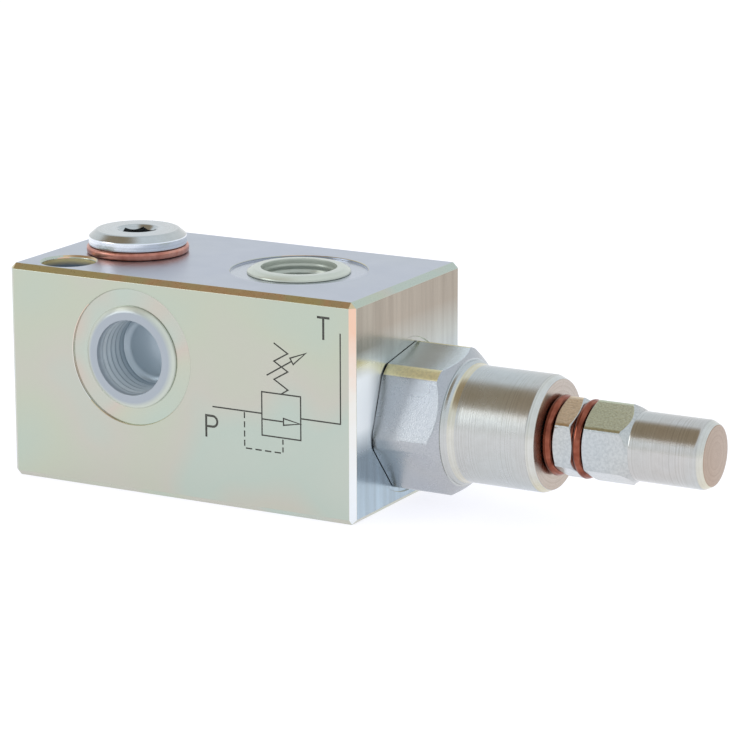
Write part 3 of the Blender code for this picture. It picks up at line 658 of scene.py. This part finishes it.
def make_housing(materials):
    """Threaded shank, hexagon and round nose in one turned piece, bored for the spring."""
    spring_bore, bore_end, shank = 7.0, 60.4, 8.9
    corners = [(21.0, spring_bore, 0.2), (21.0, 8.7, 0.2), (22.0, 9.7, 0.2), (31.4, 9.7, 0.1)]
    corners += [(32.2, shank, 0.1), (HEX_START, shank, 0.0)]
    start = rounded([(bore_end, spring_bore, 0.0)] + corners)[1:]
    radius = HOUSING_HEX_RADIUS
    hexagon_part = [(HEX_START, radius - 0.25), (35.90, radius - 0.1), (36.02, radius)]
    hexagon_part += spread((46.65, radius), (HEX_END, 11.55), 26)
    nose = [(HEX_END, 11.5, 0.0), (HEX_END + 0.05, 11.15, 0.15), (49.0, 11.1, 0.25), (49.35, 10.6, 0.3)]
    nose += [(51.0, NOSE_RADIUS, 0.4), (NOSE_BEVEL, NOSE_RADIUS, 0.18), (HOUSING_END, 9.8, 0.18)]
    nose += [(HOUSING_END, SCREW_BORE_RADIUS, 0.25), (bore_end, SCREW_BORE_RADIUS, 0.0)]
    nose += [(bore_end, spring_bore, 0.0)]
    builder = turned(start + hexagon_part + rounded(nose), FINE_STEPS, hexagon(LARGE_HEX))
    housing = new_object("housing", builder, CARTRIDGE)
    names = ("milled_hex", "turned_nose", "turned_end", "upper_flat", "corner_strip", "end_bevel")
    finished(housing, "block", "spring_housing", materials, names, housing_face)


def housing_face(centre, normal):
    if centre.x > HOUSING_END - 0.2 and normal.x > 0.9:
        return "turned_end"
    # The nose's fillet and end bevel: a painted highlight.
    if 49.3 < centre.x < NOSE_START or NOSE_BEVEL + 0.1 < centre.x < HOUSING_END - 0.1:
        return "end_bevel"
    if not HOUSING_SEAT < centre.x < HEX_END + 0.01:
        return "turned_nose"
    if abs(normal.x) > 0.2 or normal.z < 0.5:
        return "milled_hex"
    # The upper flats get a painted reflection.
    from_axis = math.hypot(centre.y, centre.z - AXIS_Z)
    # Along their corners: a painted highlight.
    return "corner_strip" if from_axis > HOUSING_HEX_RADIUS - 0.15 else "upper_flat"


def make_lock_nut(materials):
    start, end, face_radius = 67.5, 71.35, 6.2
    corner = NUT_HEX_RADIUS
    profile = rounded([(start, SCREW_BORE_RADIUS, 0.1), (start, face_radius, 0.1)])
    profile += spread((67.55, 6.35), (68.1, corner), 10) + spread((70.75, corner), (71.32, 6.35), 10)
    profile += rounded([(end, face_radius, 0.1), (end, SCREW_BORE_RADIUS, 0.1)])
    nut = new_object("nut", turned(profile, FINE_STEPS, hexagon(SMALL_HEX)), CARTRIDGE)
    names = ("small_hex", "umber_flat")
    finished(nut, "lock_nut", "lock_nut", materials, names, nut_face)


# Upward-facing flats of the small hexagons carry a painted reflection.
def on_upper_flat(normal):
    return normal.z > 0.5 and abs(normal.x) < 0.2


def nut_face(centre, normal):
    return "umber_flat" if on_upper_flat(normal) else "small_hex"


def make_cap(materials):
    start, bore, nose_radius = 73.1, SCREW_BORE_RADIUS, 6.1
    profile = rounded([(start, bore, 0.1), (start, 6.2, 0.1)])
    profile += spread((73.15, 6.35), (73.6, NUT_HEX_RADIUS), 10)
    profile += spread((80.3, NUT_HEX_RADIUS), (81.6, 6.2), 24)
    profile += rounded(
        [(81.85, nose_radius, 0.1), (CAP_BEVEL, nose_radius, 0.3), (CAP_END, 5.4, 0.35)]
        + straight((CAP_END, 0.0), (93.0, 0.0), (92.0, bore), (74.0, bore))
    )
    cap = new_object("cap", turned(profile, FINE_STEPS, hexagon(SMALL_HEX)), CARTRIDGE)
    names = ("small_hex", "turned_cap", "cap_end", "olive_flat", "end_bevel")
    finished(cap, "cap", "cap_nut", materials, names, cap_face)


def cap_face(centre, normal):
    if centre.x > CAP_END - 0.3 and normal.x > 0.9:
        return "cap_end"
    # The cap's end bevel: a painted highlight.
    if centre.x > CAP_BEVEL + 0.3:
        return "end_bevel"
    if centre.x > CAP_HEX_END:
        return "turned_cap"
    return "olive_flat" if on_upper_flat(normal) else "small_hex"


def make_crush_rings(materials):
    """Two folded copper rings: round outside, with a shallow crease where the fold closes."""
    rings = (
        ("adjuster_seal", "adjuster_washer", "block", 65.74, 67.42, 7.15),
        ("cap_seal", "cap_washer", "cap_ring", 71.42, 73.02, 7.0),
    )
    bulge, crease_depth, crease_angle, crease_width, inner_radius = 0.9, 0.10, 0.45, 0.16, 4.25
    for name, node, body, start, end, radius in rings:
        middle = (start + end) / 2
        half = (end - start) / 2
        outer = []
        for i in range(25):
            angle = math.pi * (i / 24 - 0.5)
            crease = crease_depth * math.exp(-(((angle - crease_angle) / crease_width) ** 2))
            reach = radius - bulge + (bulge - crease) * math.cos(angle)
            outer.append((middle + half * math.sin(angle), reach))
        inner = [(end, inner_radius), (start, inner_radius)]
        ring = new_object(name, turned(outer + inner), CARTRIDGE)
        finished(ring, body, node, materials, ("round_copper",))


def make_screw(materials):
    start, end, core, socket_floor = 57.5, 86.0, M8[1], 82.0
    corners = straight((start, 0.0), (start, core - 0.4), (start + 0.4, core), (end - 0.4, core))
    corners += [(end, core - 0.4, 0.0), (end, 2.5, 0.1)]
    corners += straight((85.3, 2.1), (socket_floor, 2.1), (socket_floor, 0.0))
    screw = new_object("screw", turned(rounded(corners), FEW_STEPS), CARTRIDGE)
    combine(screw, [(threaded_rod(M8, 58.6, 84.3, 0.8, steps=72), CARTRIDGE)], "UNION")
    combine(screw, [(hex_prism(SCREW_SOCKET, socket_floor, end + 1.0, 0.0), CARTRIDGE)], "DIFFERENCE")
    finished(screw, "screw", "adjusting_screw", materials, ("black_steel",))


def make_inner_parts(materials):
    """The turned parts inside, each from (place along X, radius, rounding) corners."""
    cup_radius = 2.3 * math.sqrt(2)
    parts = {
        "valve_seat": (
            "block",
            [(-3.7, 3.7, 0.2), (-3.7, 6.7, 0.5), (-1.9, 6.7, 0.1), (-1.9, 4.9, 0.1), (1.9, 4.9, 0.1)]
            + [(1.9, 6.7, 0.1), (5.0, 6.7, 0.4), (5.0, 3.7, 0.05)],
        ),
        "poppet": (
            "poppet_group",
            [(-2.6, 0.0, 0.0), (-2.6, 3.4, 0.4), (2.4, 3.4, 0.3), (2.4, 2.2, 0.2), (4.0, 2.2, 0.2)]
            + [(8.0, 6.2, 0.3), (10.5, 6.2, 0.3), (10.5, 4.2, 0.3), (12.6, 4.2, 0.3)]
            + [(12.6, 12.6 - BALL_PLACE + cup_radius, 0.1), (BALL_PLACE - cup_radius, 0.0, 0.0)],
        ),
        "spring_seat": (
            "poppet_group",
            [(BALL_PLACE + cup_radius, 0.0, 0.0), (14.2, BALL_PLACE + cup_radius - 14.2, 0.1)]
            + [(14.2, 4.2, 0.3), (16.2, 4.2, 0.3), (16.2, 6.6, 0.3), (18.4, 6.6, 0.2), (18.4, 3.6, 0.2)]
            + [(23.0, 3.6, 0.4), (24.0, 2.6, 0.3), (24.0, 0.0, 0.0)],
        ),
        "spring_shim": (
            "plate_group",
            [(49.9, 3.9, 0.1), (49.9, 6.5, 0.2), (51.0, 6.5, 0.2), (51.0, 3.9, 0.1)],
        ),
        "upper_spring_plate": (
            "plate_group",
            [(44.0, 0.0, 0.0), (44.0, 2.6, 0.3), (45.0, 3.6, 0.4), (51.3, 3.6, 0.2), (51.3, 6.7, 0.3)]
            + [(53.0, 6.7, 0.1), (53.0, 5.1, 0.1), (55.2, 5.1, 0.1), (55.2, 6.7, 0.1), (57.2, 6.7, 0.3)]
            + [(57.2, 0.0, 0.0)],
        ),
    }
    for node, (body, corners) in parts.items():
        part = new_object(f"{node}_turned", turned(rounded(corners), FEW_STEPS), CARTRIDGE)
        finished(part, body, node, materials, ("ground_steel",))


def make_ball(materials):
    builder = bmesh.new()
    place = Matrix.Translation((0.0, 0.0, BALL_PLACE))
    bmesh.ops.create_uvsphere(builder, u_segments=48, v_segments=32, radius=BALL_RADIUS, matrix=place)
    ball = new_object("ball", builder, CARTRIDGE)
    finished(ball, "poppet_group", "centring_ball", materials, ("ground_steel",))


def make_spring(materials):
    """Coils of round wire with a close turn at each end."""
    wire, mean, low, high, turns, close = 1.2, 5.2, 18.7, 49.6, 8.5, 2.8
    whole = high - low - 2 * wire
    open_pitch = (whole - 2 * close) / (turns - 2)
    steps = 40
    around = 14
    count = round(turns * steps) + 1
    vertices = []
    for i in range(count):
        turn = i / steps
        rise = close * min(turn, 1) + open_pitch * min(max(turn - 1, 0), turns - 2)
        rise += close * max(turn - turns + 1, 0)
        angle = math.tau * turn
        for j in range(around):
            section = math.tau * j / around
            radius = mean + wire * math.cos(section)
            height = low + wire + rise + wire * math.sin(section)
            vertices.append((radius * math.cos(angle), radius * math.sin(angle), height))
    faces = [tuple(range(around)), tuple(range((count - 1) * around, count * around))]
    for i in range(count - 1):
        for j in range(around):
            k = (j + 1) % around
            faces.append((i * around + j, i * around + k, (i + 1) * around + k, (i + 1) * around + j))
    spring = new_object("coil_spring", closed_mesh(vertices, faces), CARTRIDGE)
    finished(spring, "block", "main_spring", materials, ("spring_steel",))


def make_seals(materials):
    rings = (
        ("housing_o_ring", "block", 34.9, 10.4, 0.9),
        ("seat_o_ring", "block", -0.85, 5.95, 0.75),
        ("plate_o_ring", "plate_group", 54.1, 6.05, 0.65),
    )
    for node, body, middle, mean, section in rings:
        profile = [
            (middle + section * math.cos(math.tau * i / 20), mean + section * math.sin(math.tau * i / 20))
            for i in range(20)
        ]
        ring = new_object(f"{node}_seal", turned(profile, FEW_STEPS), CARTRIDGE)
        finished(ring, body, node, materials, ("rubber",))
    corners = [(0.2, 5.2, 0.1), (0.2, 6.7, 0.1), (1.6, 6.7, 0.1), (1.6, 5.2, 0.1)]
    backup = new_object("backup_ring", turned(rounded(corners), FEW_STEPS), CARTRIDGE)
    finished(backup, "block", "seat_backup_ring", materials, ("ptfe",))


# ---- materials


class Graph:
    """A node tree with short calls: a dict value that is a socket is linked, and any other is set."""

    def __init__(self, tree):
        self.tree = tree
        self.tree.nodes.clear()

    def node(self, kind, inputs, **settings):
        made = self.tree.nodes.new(kind)
        for name, value in settings.items():
            setattr(made, name, value)
        for name, value in inputs.items():
            if isinstance(value, bpy.types.NodeSocket):
                self.tree.links.new(value, made.inputs[name])
            else:
                made.inputs[name].default_value = value
        return made

    def math(self, operation, first, second=0.0, third=0.0):
        inputs = {0: first, 1: second, 2: third}
        return self.node("ShaderNodeMath", inputs, operation=operation).outputs[0]

    def vary(self, value, amount, base):
        return self.math("MULTIPLY_ADD", value, amount, base)

    def vector_math(self, operation, first, second):
        made = self.node("ShaderNodeVectorMath", {0: first, 1: second}, operation=operation)
        return made.outputs["Value" if operation in ("DOT_PRODUCT", "LENGTH") else "Vector"]

    def place(self):
        return self.node("ShaderNodeTexCoord", {}).outputs["Object"]

    def noise(self, scale, detail, roughness, vector=None):
        vector = vector or self.place()
        inputs = {"Vector": vector, "Scale": scale, "Detail": detail, "Roughness": roughness}
        return self.node("ShaderNodeTexNoise", inputs).outputs["Fac"]

    def rings(self, distance, scale):
        """Noise that changes only with this distance."""
        inputs = {"W": distance, "Scale": scale, "Detail": 4.0}
        return self.node("ShaderNodeTexNoise", inputs, noise_dimensions="1D").outputs["Fac"]

    def ramp(self, factor, stops):
        made = self.node("ShaderNodeValToRGB", {"Fac": factor})
        band = made.color_ramp
        while len(band.elements) < len(stops):
            band.elements.new(0.5)
        for element, (position, colour) in zip(band.elements, stops):
            element.position = position
            element.color = (*colour, 1.0)
        return made.outputs["Color"]

    def mix(self, factor, first, second, blend="MIX"):
        made = self.node("ShaderNodeMix", {"Factor": factor}, data_type="RGBA", blend_type=blend)
        for name, value in (("A", first), ("B", second)):
            socket = next(s for s in made.inputs if s.name == name and s.type == "RGBA")
            if isinstance(value, bpy.types.NodeSocket):
                self.tree.links.new(value, socket)
            else:
                socket.default_value = (*value, 1.0)
        return next(s for s in made.outputs if s.type == "RGBA")

    def part(self, vector, axis):
        return self.node("ShaderNodeSeparateXYZ", {"Vector": vector}).outputs[axis]

    def fade(self, value, start, end):
        """0 at start and 1 at end, both in millimetres, for a value in metres."""
        limits = {"Value": value, "From Min": start * MM, "From Max": end * MM}
        return self.node("ShaderNodeMapRange", limits).outputs[0]

    def from_axis(self, point, along):
        """Distance in metres from an axis through point, in millimetres, along X, Y or Z."""
        keep = [0.0 if name == along else 1.0 for name in "XYZ"]
        offset = self.vector_math("SUBTRACT", self.place(), tuple(Vector(point) * MM))
        return self.vector_math("LENGTH", self.vector_math("MULTIPLY", offset, keep), (0, 0, 0))

    def surface(self, colour, roughness, height, depth_mm, metallic=1.0, specular=0.5):
        normal = self.node(
            "ShaderNodeBump", {"Height": height, "Distance": depth_mm * MM, "Strength": 1.0}
        ).outputs["Normal"]
        shader = self.node(
            "ShaderNodeBsdfPrincipled",
            {
                "Base Color": colour,
                "Metallic": metallic,
                "Roughness": roughness,
                "Specular IOR Level": specular,
                "Normal": normal,
            },
        )
        self.node("ShaderNodeOutputMaterial", {"Surface": shader.outputs[0]})


def new_graph(name):
    material = bpy.data.materials.new(name)
    material.use_nodes = True
    return material, Graph(material.node_tree)


def zinc_colour(graph, stops, scale=38.0, seed=(0.0, 0.0, 0.0)):
    """Interference colours of clear zinc plating: broad soft patches of cream, green and pink."""
    place = graph.vector_math("ADD", graph.place(), seed)
    patches = graph.noise(scale, 1.5, 0.4, place)
    return graph.ramp(patches, stops)


def specks(graph, scale, size):
    """1 in a few small pits, 0 elsewhere."""
    cells = graph.node("ShaderNodeTexVoronoi", {"Vector": graph.place(), "Scale": scale})
    chance = graph.node("ShaderNodeSeparateColor", {"Color": cells.outputs["Color"]}).outputs[0]
    rare = graph.math("LESS_THAN", chance, 0.03)
    near = graph.math("LESS_THAN", cells.outputs["Distance"], size)
    return graph.math("MULTIPLY", rare, near)


def plated_side(graph, stops):
    colour = zinc_colour(graph, stops)
    pits = specks(graph, 260.0, 0.05)
    colour = graph.mix(graph.math("MULTIPLY", pits, 0.6), colour, (0.12, 0.12, 0.11))
    grain = graph.noise(2600.0, 3.0, 0.6)
    soft = graph.noise(240.0, 2.0, 0.5)
    roughness = graph.vary(soft, 0.10, 0.27)
    height = graph.math("SUBTRACT", grain, graph.math("MULTIPLY", pits, 2.0))
    graph.surface(colour, roughness, height, 0.006)


def sawn_end(graph):
    """Both ends are ground up and down, which leaves fine vertical lines; blue below and tan above is a
    painted reflection.

    The right end also has a white glare between its front edge and the hexagon: a painted highlight."""
    along, across, height = (graph.part(graph.place(), axis) for axis in "XYZ")
    # Painted reflection: the colour changes with height, blue below and tan above.
    tint = graph.vary(height, 50.0, -0.9)
    # Painted highlight near the front of the right end.
    painted_highlight_side = graph.fade(across, -8.0, -15.0)
    painted_highlight_side = graph.math("MULTIPLY", painted_highlight_side, graph.math("GREATER_THAN", along, 0.0))
    colour = graph.mix(painted_highlight_side, graph.ramp(tint, SAWN_PAINTED_REFLECTION), graph.ramp(tint, SAWN_PAINTED_HIGHLIGHT))
    stretched, less_stretched = (
        graph.vector_math("MULTIPLY", graph.place(), (1.0, 1.0, squeeze)) for squeeze in (0.02, 0.05)
    )
    lines = graph.noise(1500.0, 4.0, 0.7, stretched)
    wide_lines = graph.noise(420.0, 3.0, 0.6, less_stretched)
    shade = graph.vary(wide_lines, 1.0, 0.35)
    streaks = graph.ramp(shade, ((0.55, (0.70, 0.68, 0.66)), (1.0, (1.0, 1.0, 1.0))))
    colour = graph.mix(1.0, colour, streaks, "MULTIPLY")
    roughness = graph.vary(wide_lines, 0.16, 0.12)
    band = graph.math("MULTIPLY", graph.fade(height, 12.0, 17.0), graph.fade(height, 29.0, 26.0))
    # Painted highlight: white, rougher and less metallic in this patch.
    glare = graph.math("MULTIPLY", painted_highlight_side, band)
    colour = graph.mix(glare, colour, (0.94, 0.98, 1.0))
    roughness = graph.vary(glare, 0.4, roughness)
    metallic = graph.vary(glare, -0.75, 1.0)
    graph.surface(colour, roughness, graph.math("ADD", lines, wide_lines), 0.012, metallic=metallic)


def edge(graph, stops, scale):
    colour = zinc_colour(graph, stops, scale)
    grain = graph.noise(1800.0, 3.0, 0.6)
    graph.surface(colour, graph.vary(grain, 0.2, 0.20), grain, 0.004)


def hole_wall(graph):
    """The mounting holes' walls: yellow near the mouth as a painted reflection, and darker blue-grey below
    it as painted shade.
    """
    near_mouth = graph.fade(graph.part(graph.place(), "Z"), 38.0, 39.3)
    grain = graph.noise(250.0, 2.0, 0.5)
    along = graph.vary(grain, 0.3, graph.math("SUBTRACT", near_mouth, 0.15))
    graph.surface(graph.ramp(along, HOLE_WALL_PAINTED_LIGHT), 0.42, grain, 0.001, metallic=0.75)


def corner_edge(graph):
    """The upright edge between the front and the right end: a painted reflection, whiter low down and
    pinker towards its top.
    """
    height = graph.part(graph.place(), "Z")
    grain = graph.noise(300.0, 2.0, 0.5)
    along = graph.math("ADD", graph.math("MULTIPLY", height, 22.0), graph.math("MULTIPLY", grain, 0.2))
    graph.surface(graph.ramp(along, CORNER_PAINTED_REFLECTION), 0.28, grain, 0.002)


def spot_face(graph, point, along, stops, tint):
    """A port's spot face and chamfer: fine rings left by the cutter."""
    radius = graph.from_axis(point, along)
    rings = graph.rings(radius, 5200.0)
    patches = zinc_colour(graph, stops, 55.0, (0.3, 0.1, 0.2))
    colour = graph.mix(graph.fade(radius, 8.8, 9.4), tint, patches)
    roughness = graph.vary(rings, 0.12, 0.16)
    graph.surface(colour, roughness, rings, 0.004)


def moulded(graph, point, along, stops):
    """Thin clear plastic over a dark bore: it darkens towards the bottom of the cup, partly from the bore
    behind it and partly as painted shade.
    """
    offset = graph.vector_math("SUBTRACT", graph.place(), tuple(Vector(point) * MM))
    inwards = graph.math("MULTIPLY", graph.part(offset, along), 1.0 if along == "Y" else -1.0)
    upwards = graph.fade(inwards, 9.0, -0.5)
    rim = graph.fade(graph.from_axis(point, along), 8.2, 9.0)
    colour = graph.mix(rim, graph.ramp(upwards, stops), CLEAR_RIM)
    grain = graph.noise(700.0, 2.0, 0.5)
    roughness = graph.vary(grain, 0.05, 0.20)
    graph.surface(colour, roughness, grain, 0.002, metallic=0.35, specular=0.6)


def bore(graph):
    grain = graph.noise(900.0, 3.0, 0.6)
    colour = graph.ramp(grain, ((0.3, (0.42, 0.46, 0.52)), (0.7, (0.60, 0.64, 0.70))))
    graph.surface(colour, graph.vary(grain, 0.2, 0.14), grain, 0.01)


def engraved(graph):
    grain = graph.noise(4000.0, 2.0, 0.6)
    colour = graph.ramp(grain, ((0.3, (0.05, 0.05, 0.045)), (0.8, (0.13, 0.13, 0.11))))
    graph.surface(colour, 0.6, grain, 0.01, metallic=0.4)


def turned_zinc(graph, axis_point, along, stops, lines_mm, base_roughness):
    """Plating over a turned surface: rings round the axis, broken by patches of plating colour."""
    track = graph.math("ADD", graph.part(graph.place(), along), graph.from_axis(axis_point, along))
    fine = graph.rings(track, 1000.0 / lines_mm)
    broken = graph.noise(700.0, 3.0, 0.6)
    lines = graph.math("MULTIPLY", fine, graph.vary(broken, 0.8, 0.5))
    colour = zinc_colour(graph, stops, 45.0, (0.1, 0.4, 0.2))
    streaks = graph.ramp(lines, ((0.25, (0.84, 0.83, 0.81)), (0.55, (1.0, 1.0, 1.0))))
    colour = graph.mix(0.8, colour, streaks, "MULTIPLY")
    soft = graph.noise(300.0, 2.0, 0.5)
    roughness = graph.vary(soft, 0.12, base_roughness)
    graph.surface(colour, roughness, lines, 0.006)


def milled_hex(graph, stops, grain_mm, base_roughness):
    """Flats as drawn: satin with a fine sparkle."""
    colour = zinc_colour(graph, stops, 50.0, (0.2, 0.0, 0.5))
    grain = graph.noise(1000.0 / grain_mm, 3.0, 0.65)
    soft = graph.noise(200.0, 2.0, 0.5)
    shine = graph.ramp(grain, ((0.35, (0.84, 0.85, 0.86)), (0.6, (1.0, 1.0, 1.0))))
    colour = graph.mix(1.0, colour, shine, "MULTIPLY")
    roughness = graph.vary(soft, 0.14, base_roughness)
    graph.surface(colour, roughness, grain, 0.022)


def copper(graph, stops, grain_mm, roughness):
    patches = graph.noise(420.0, 3.0, 0.6)
    colour = graph.ramp(patches, stops)
    grain = graph.noise(1000.0 / grain_mm, 3.0, 0.6)
    graph.surface(colour, graph.vary(patches, 0.2, roughness), grain, 0.004)


def plain(graph, low, high, roughness, grain_mm, depth, metallic=1.0):
    grain = graph.noise(1000.0 / grain_mm, 3.0, 0.6)
    colour = graph.ramp(grain, ((0.3, low), (0.7, high)))
    graph.surface(colour, graph.vary(grain, 0.15, roughness), grain, depth, metallic)


def make_materials():
    axis = (0.0, 0.0, AXIS_Z)
    plug_axis = tuple(PLUG_PORT)
    recipes = {
        "plated_side": (plated_side, ZINC),
        "plated_top": (plated_side, TOP_ZINC_PAINTED_REFLECTION),
        "sawn_end": (sawn_end,),
        "edge": (edge, ZINC, 60.0),
        "top_edge": (edge, TOP_EDGE_PAINTED_REFLECTION, 110.0),
        "corner_edge": (corner_edge,),
        "hole_wall": (hole_wall,),
        "upper_flat": (milled_hex, UPPER_FLAT_PAINTED_REFLECTION, 0.25, 0.16),
        "olive_flat": (milled_hex, OLIVE_PAINTED_REFLECTION, 0.4, 0.12),
        "umber_flat": (milled_hex, UMBER_PAINTED_REFLECTION, 0.4, 0.12),
        "end_bevel": (turned_zinc, axis, "X", PALE_GOLD_PAINTED_HIGHLIGHT, 0.30, 0.16),
        "corner_strip": (milled_hex, STRIP_PAINTED_HIGHLIGHT, 0.5, 0.40),
        "front_plastic": (moulded, PRESSURE_PORT, "Y", FRONT_CUP),
        "top_plastic": (moulded, TANK_PORT, "Z", TOP_CUP),
        "front_port": (spot_face, PRESSURE_PORT, "Y", SPOT_ZINC, (0.58, 0.60, 0.70)),
        "top_port": (spot_face, TANK_PORT, "Z", TOP_ZINC_PAINTED_REFLECTION, (0.66, 0.70, 0.68)),
        "bore": (bore,),
        "engraved": (engraved,),
        "turned_plug": (turned_zinc, plug_axis, "Z", BRIGHT, 0.35, 0.12),
        "plug_side": (turned_zinc, plug_axis, "Z", WHITE_ZINC_PAINTED_REFLECTION, 0.35, 0.14),
        "milled_hex": (milled_hex, FLAT, 0.22, 0.20),
        "turned_nose": (turned_zinc, axis, "X", BRIGHT, 0.22, 0.20),
        "turned_end": (turned_zinc, axis, "X", PEACH, 0.30, 0.20),
        "small_hex": (milled_hex, BRIGHT, 0.5, 0.10),
        "turned_cap": (turned_zinc, axis, "X", BRIGHT, 0.30, 0.13),
        "cap_end": (turned_zinc, axis, "X", TAN, 0.40, 0.16),
        "flat_copper": (copper, PALE_COPPER, 0.5, 0.22),
        "round_copper": (copper, DARK_COPPER, 1.2, 0.06),
        "black_steel": (plain, (0.10, 0.10, 0.11), (0.20, 0.20, 0.21), 0.25, 0.3, 0.005),
        "ground_steel": (plain, (0.50, 0.50, 0.52), (0.66, 0.66, 0.67), 0.12, 0.3, 0.003),
        "spring_steel": (plain, (0.18, 0.19, 0.22), (0.34, 0.35, 0.38), 0.22, 0.4, 0.004),
        "rubber": (plain, (0.012, 0.012, 0.013), (0.03, 0.03, 0.03), 0.45, 0.5, 0.01, 0.0),
        "ptfe": (plain, (0.72, 0.72, 0.70), (0.84, 0.84, 0.82), 0.35, 0.6, 0.006, 0.0),
    }
    materials = {}
    for name, (make, *values) in recipes.items():
        materials[name], graph = new_graph(name)
        make(graph, *values)
    return materials


# ---- studio


def make_floor():
    builder = bmesh.new()
    bmesh.ops.create_grid(builder, x_segments=1, y_segments=1, size=FLOOR_SIZE)
    floor = new_object("floor", builder, Matrix.Translation((0.0, 0.0, -FLOOR_DROP)))
    material, graph = new_graph("pale_floor")
    grain = graph.noise(40.0, 2.0, 0.5)
    colour = graph.ramp(grain, ((0.3, (0.34, 0.34, 0.34)), (0.7, (0.36, 0.36, 0.36))))
    graph.surface(colour, 0.8, grain, 0.001, metallic=0.0, specular=0.0)
    shader = material.node_tree.nodes["Principled BSDF"]
    shader.inputs["Emission Color"].default_value = FLOOR_GLOW_COLOUR
    shader.inputs["Emission Strength"].default_value = FLOOR_GLOW
    floor.data.materials.append(material)


def make_world():
    """A pale studio whose ceiling is unlit: round parts mirror it as one brown band."""
    world = bpy.data.worlds.new("studio")
    bpy.context.scene.world = world
    world.use_nodes = True
    graph = Graph(world.node_tree)
    towards = graph.node("ShaderNodeTexCoord", {}).outputs["Generated"]
    stops = ((0.0, (1.0, 1.0, 1.0)), (0.15, (0.94, 0.97, 1.0)), (0.5, (0.90, 0.95, 1.0)))
    walls = graph.ramp(graph.part(towards, "Z"), stops)
    nearness = graph.vector_math("DOT_PRODUCT", towards, CEILING_MIDDLE)
    start, end = (math.cos(angle) for angle in CEILING_FADE)
    limits = {"Value": nearness, "From Min": start, "From Max": end}
    ceiling = graph.node("ShaderNodeMapRange", limits, interpolation_type="SMOOTHSTEP").outputs[0]
    colour = graph.mix(ceiling, walls, (0.38, 0.31, 0.22))
    light = graph.node("ShaderNodeBackground", {"Color": colour, "Strength": 1.0})
    graph.node("ShaderNodeOutputWorld", {"Surface": light.outputs[0]})


def make_light(name, place, size, power, colour, mirrored):
    data = bpy.data.lights.new(name, "AREA")
    data.shape = "SQUARE"
    data.size = size
    data.energy = power
    data.color = colour
    lamp = bpy.data.objects.new(name, data)
    bpy.context.scene.collection.objects.link(lamp)
    lamp.location = place
    lamp.rotation_mode = "QUATERNION"
    lamp.rotation_quaternion = (Vector((0.02, 0.0, 0.0)) - Vector(place)).to_track_quat("-Z", "Y")
    lamp.visible_glossy = mirrored


def make_lights():
    make_light("overhead", (0.0, -0.1, 1.2), 1.6, 3.0, (1.0, 1.0, 1.0), False)
    make_light("window", (-0.9, -0.9, 0.55), 0.7, 3.0, (0.95, 0.98, 1.0), True)


def make_camera():
    data = bpy.data.cameras.new("camera")
    data.sensor_width = FILM_WIDTH
    data.lens = FOCAL_LENGTH
    data.clip_start = 0.05
    data.clip_end = 50.0
    camera = bpy.data.objects.new("camera", data)
    bpy.context.scene.collection.objects.link(camera)
    tilt = Matrix.Rotation(math.pi / 2 - CAMERA_ELEVATION, 4, "X") @ Matrix.Rotation(CAMERA_ROLL, 4, "Z")
    block_middle = Matrix.Translation((0.0, 0.0, BLOCK_SIDE / 2 * MM))
    camera.matrix_world = block_middle @ Matrix.Rotation(CAMERA_AZIMUTH, 4, "Z") @ tilt
    camera.matrix_world @= Matrix.Translation(CAMERA_OFFSET * MM)
    bpy.context.scene.camera = camera


def main():
    materials = make_materials()
    makers = (make_block, make_port_caps, make_plug, make_plug_seal, make_housing, make_crush_rings)
    makers += (make_lock_nut, make_cap, make_screw, make_inner_parts, make_ball, make_spring, make_seals)
    for make in makers:
        make(materials)
    make_floor()
    make_world()
    make_lights()
    make_camera()
    bpy.context.scene.view_settings.view_transform = "Standard"


main()
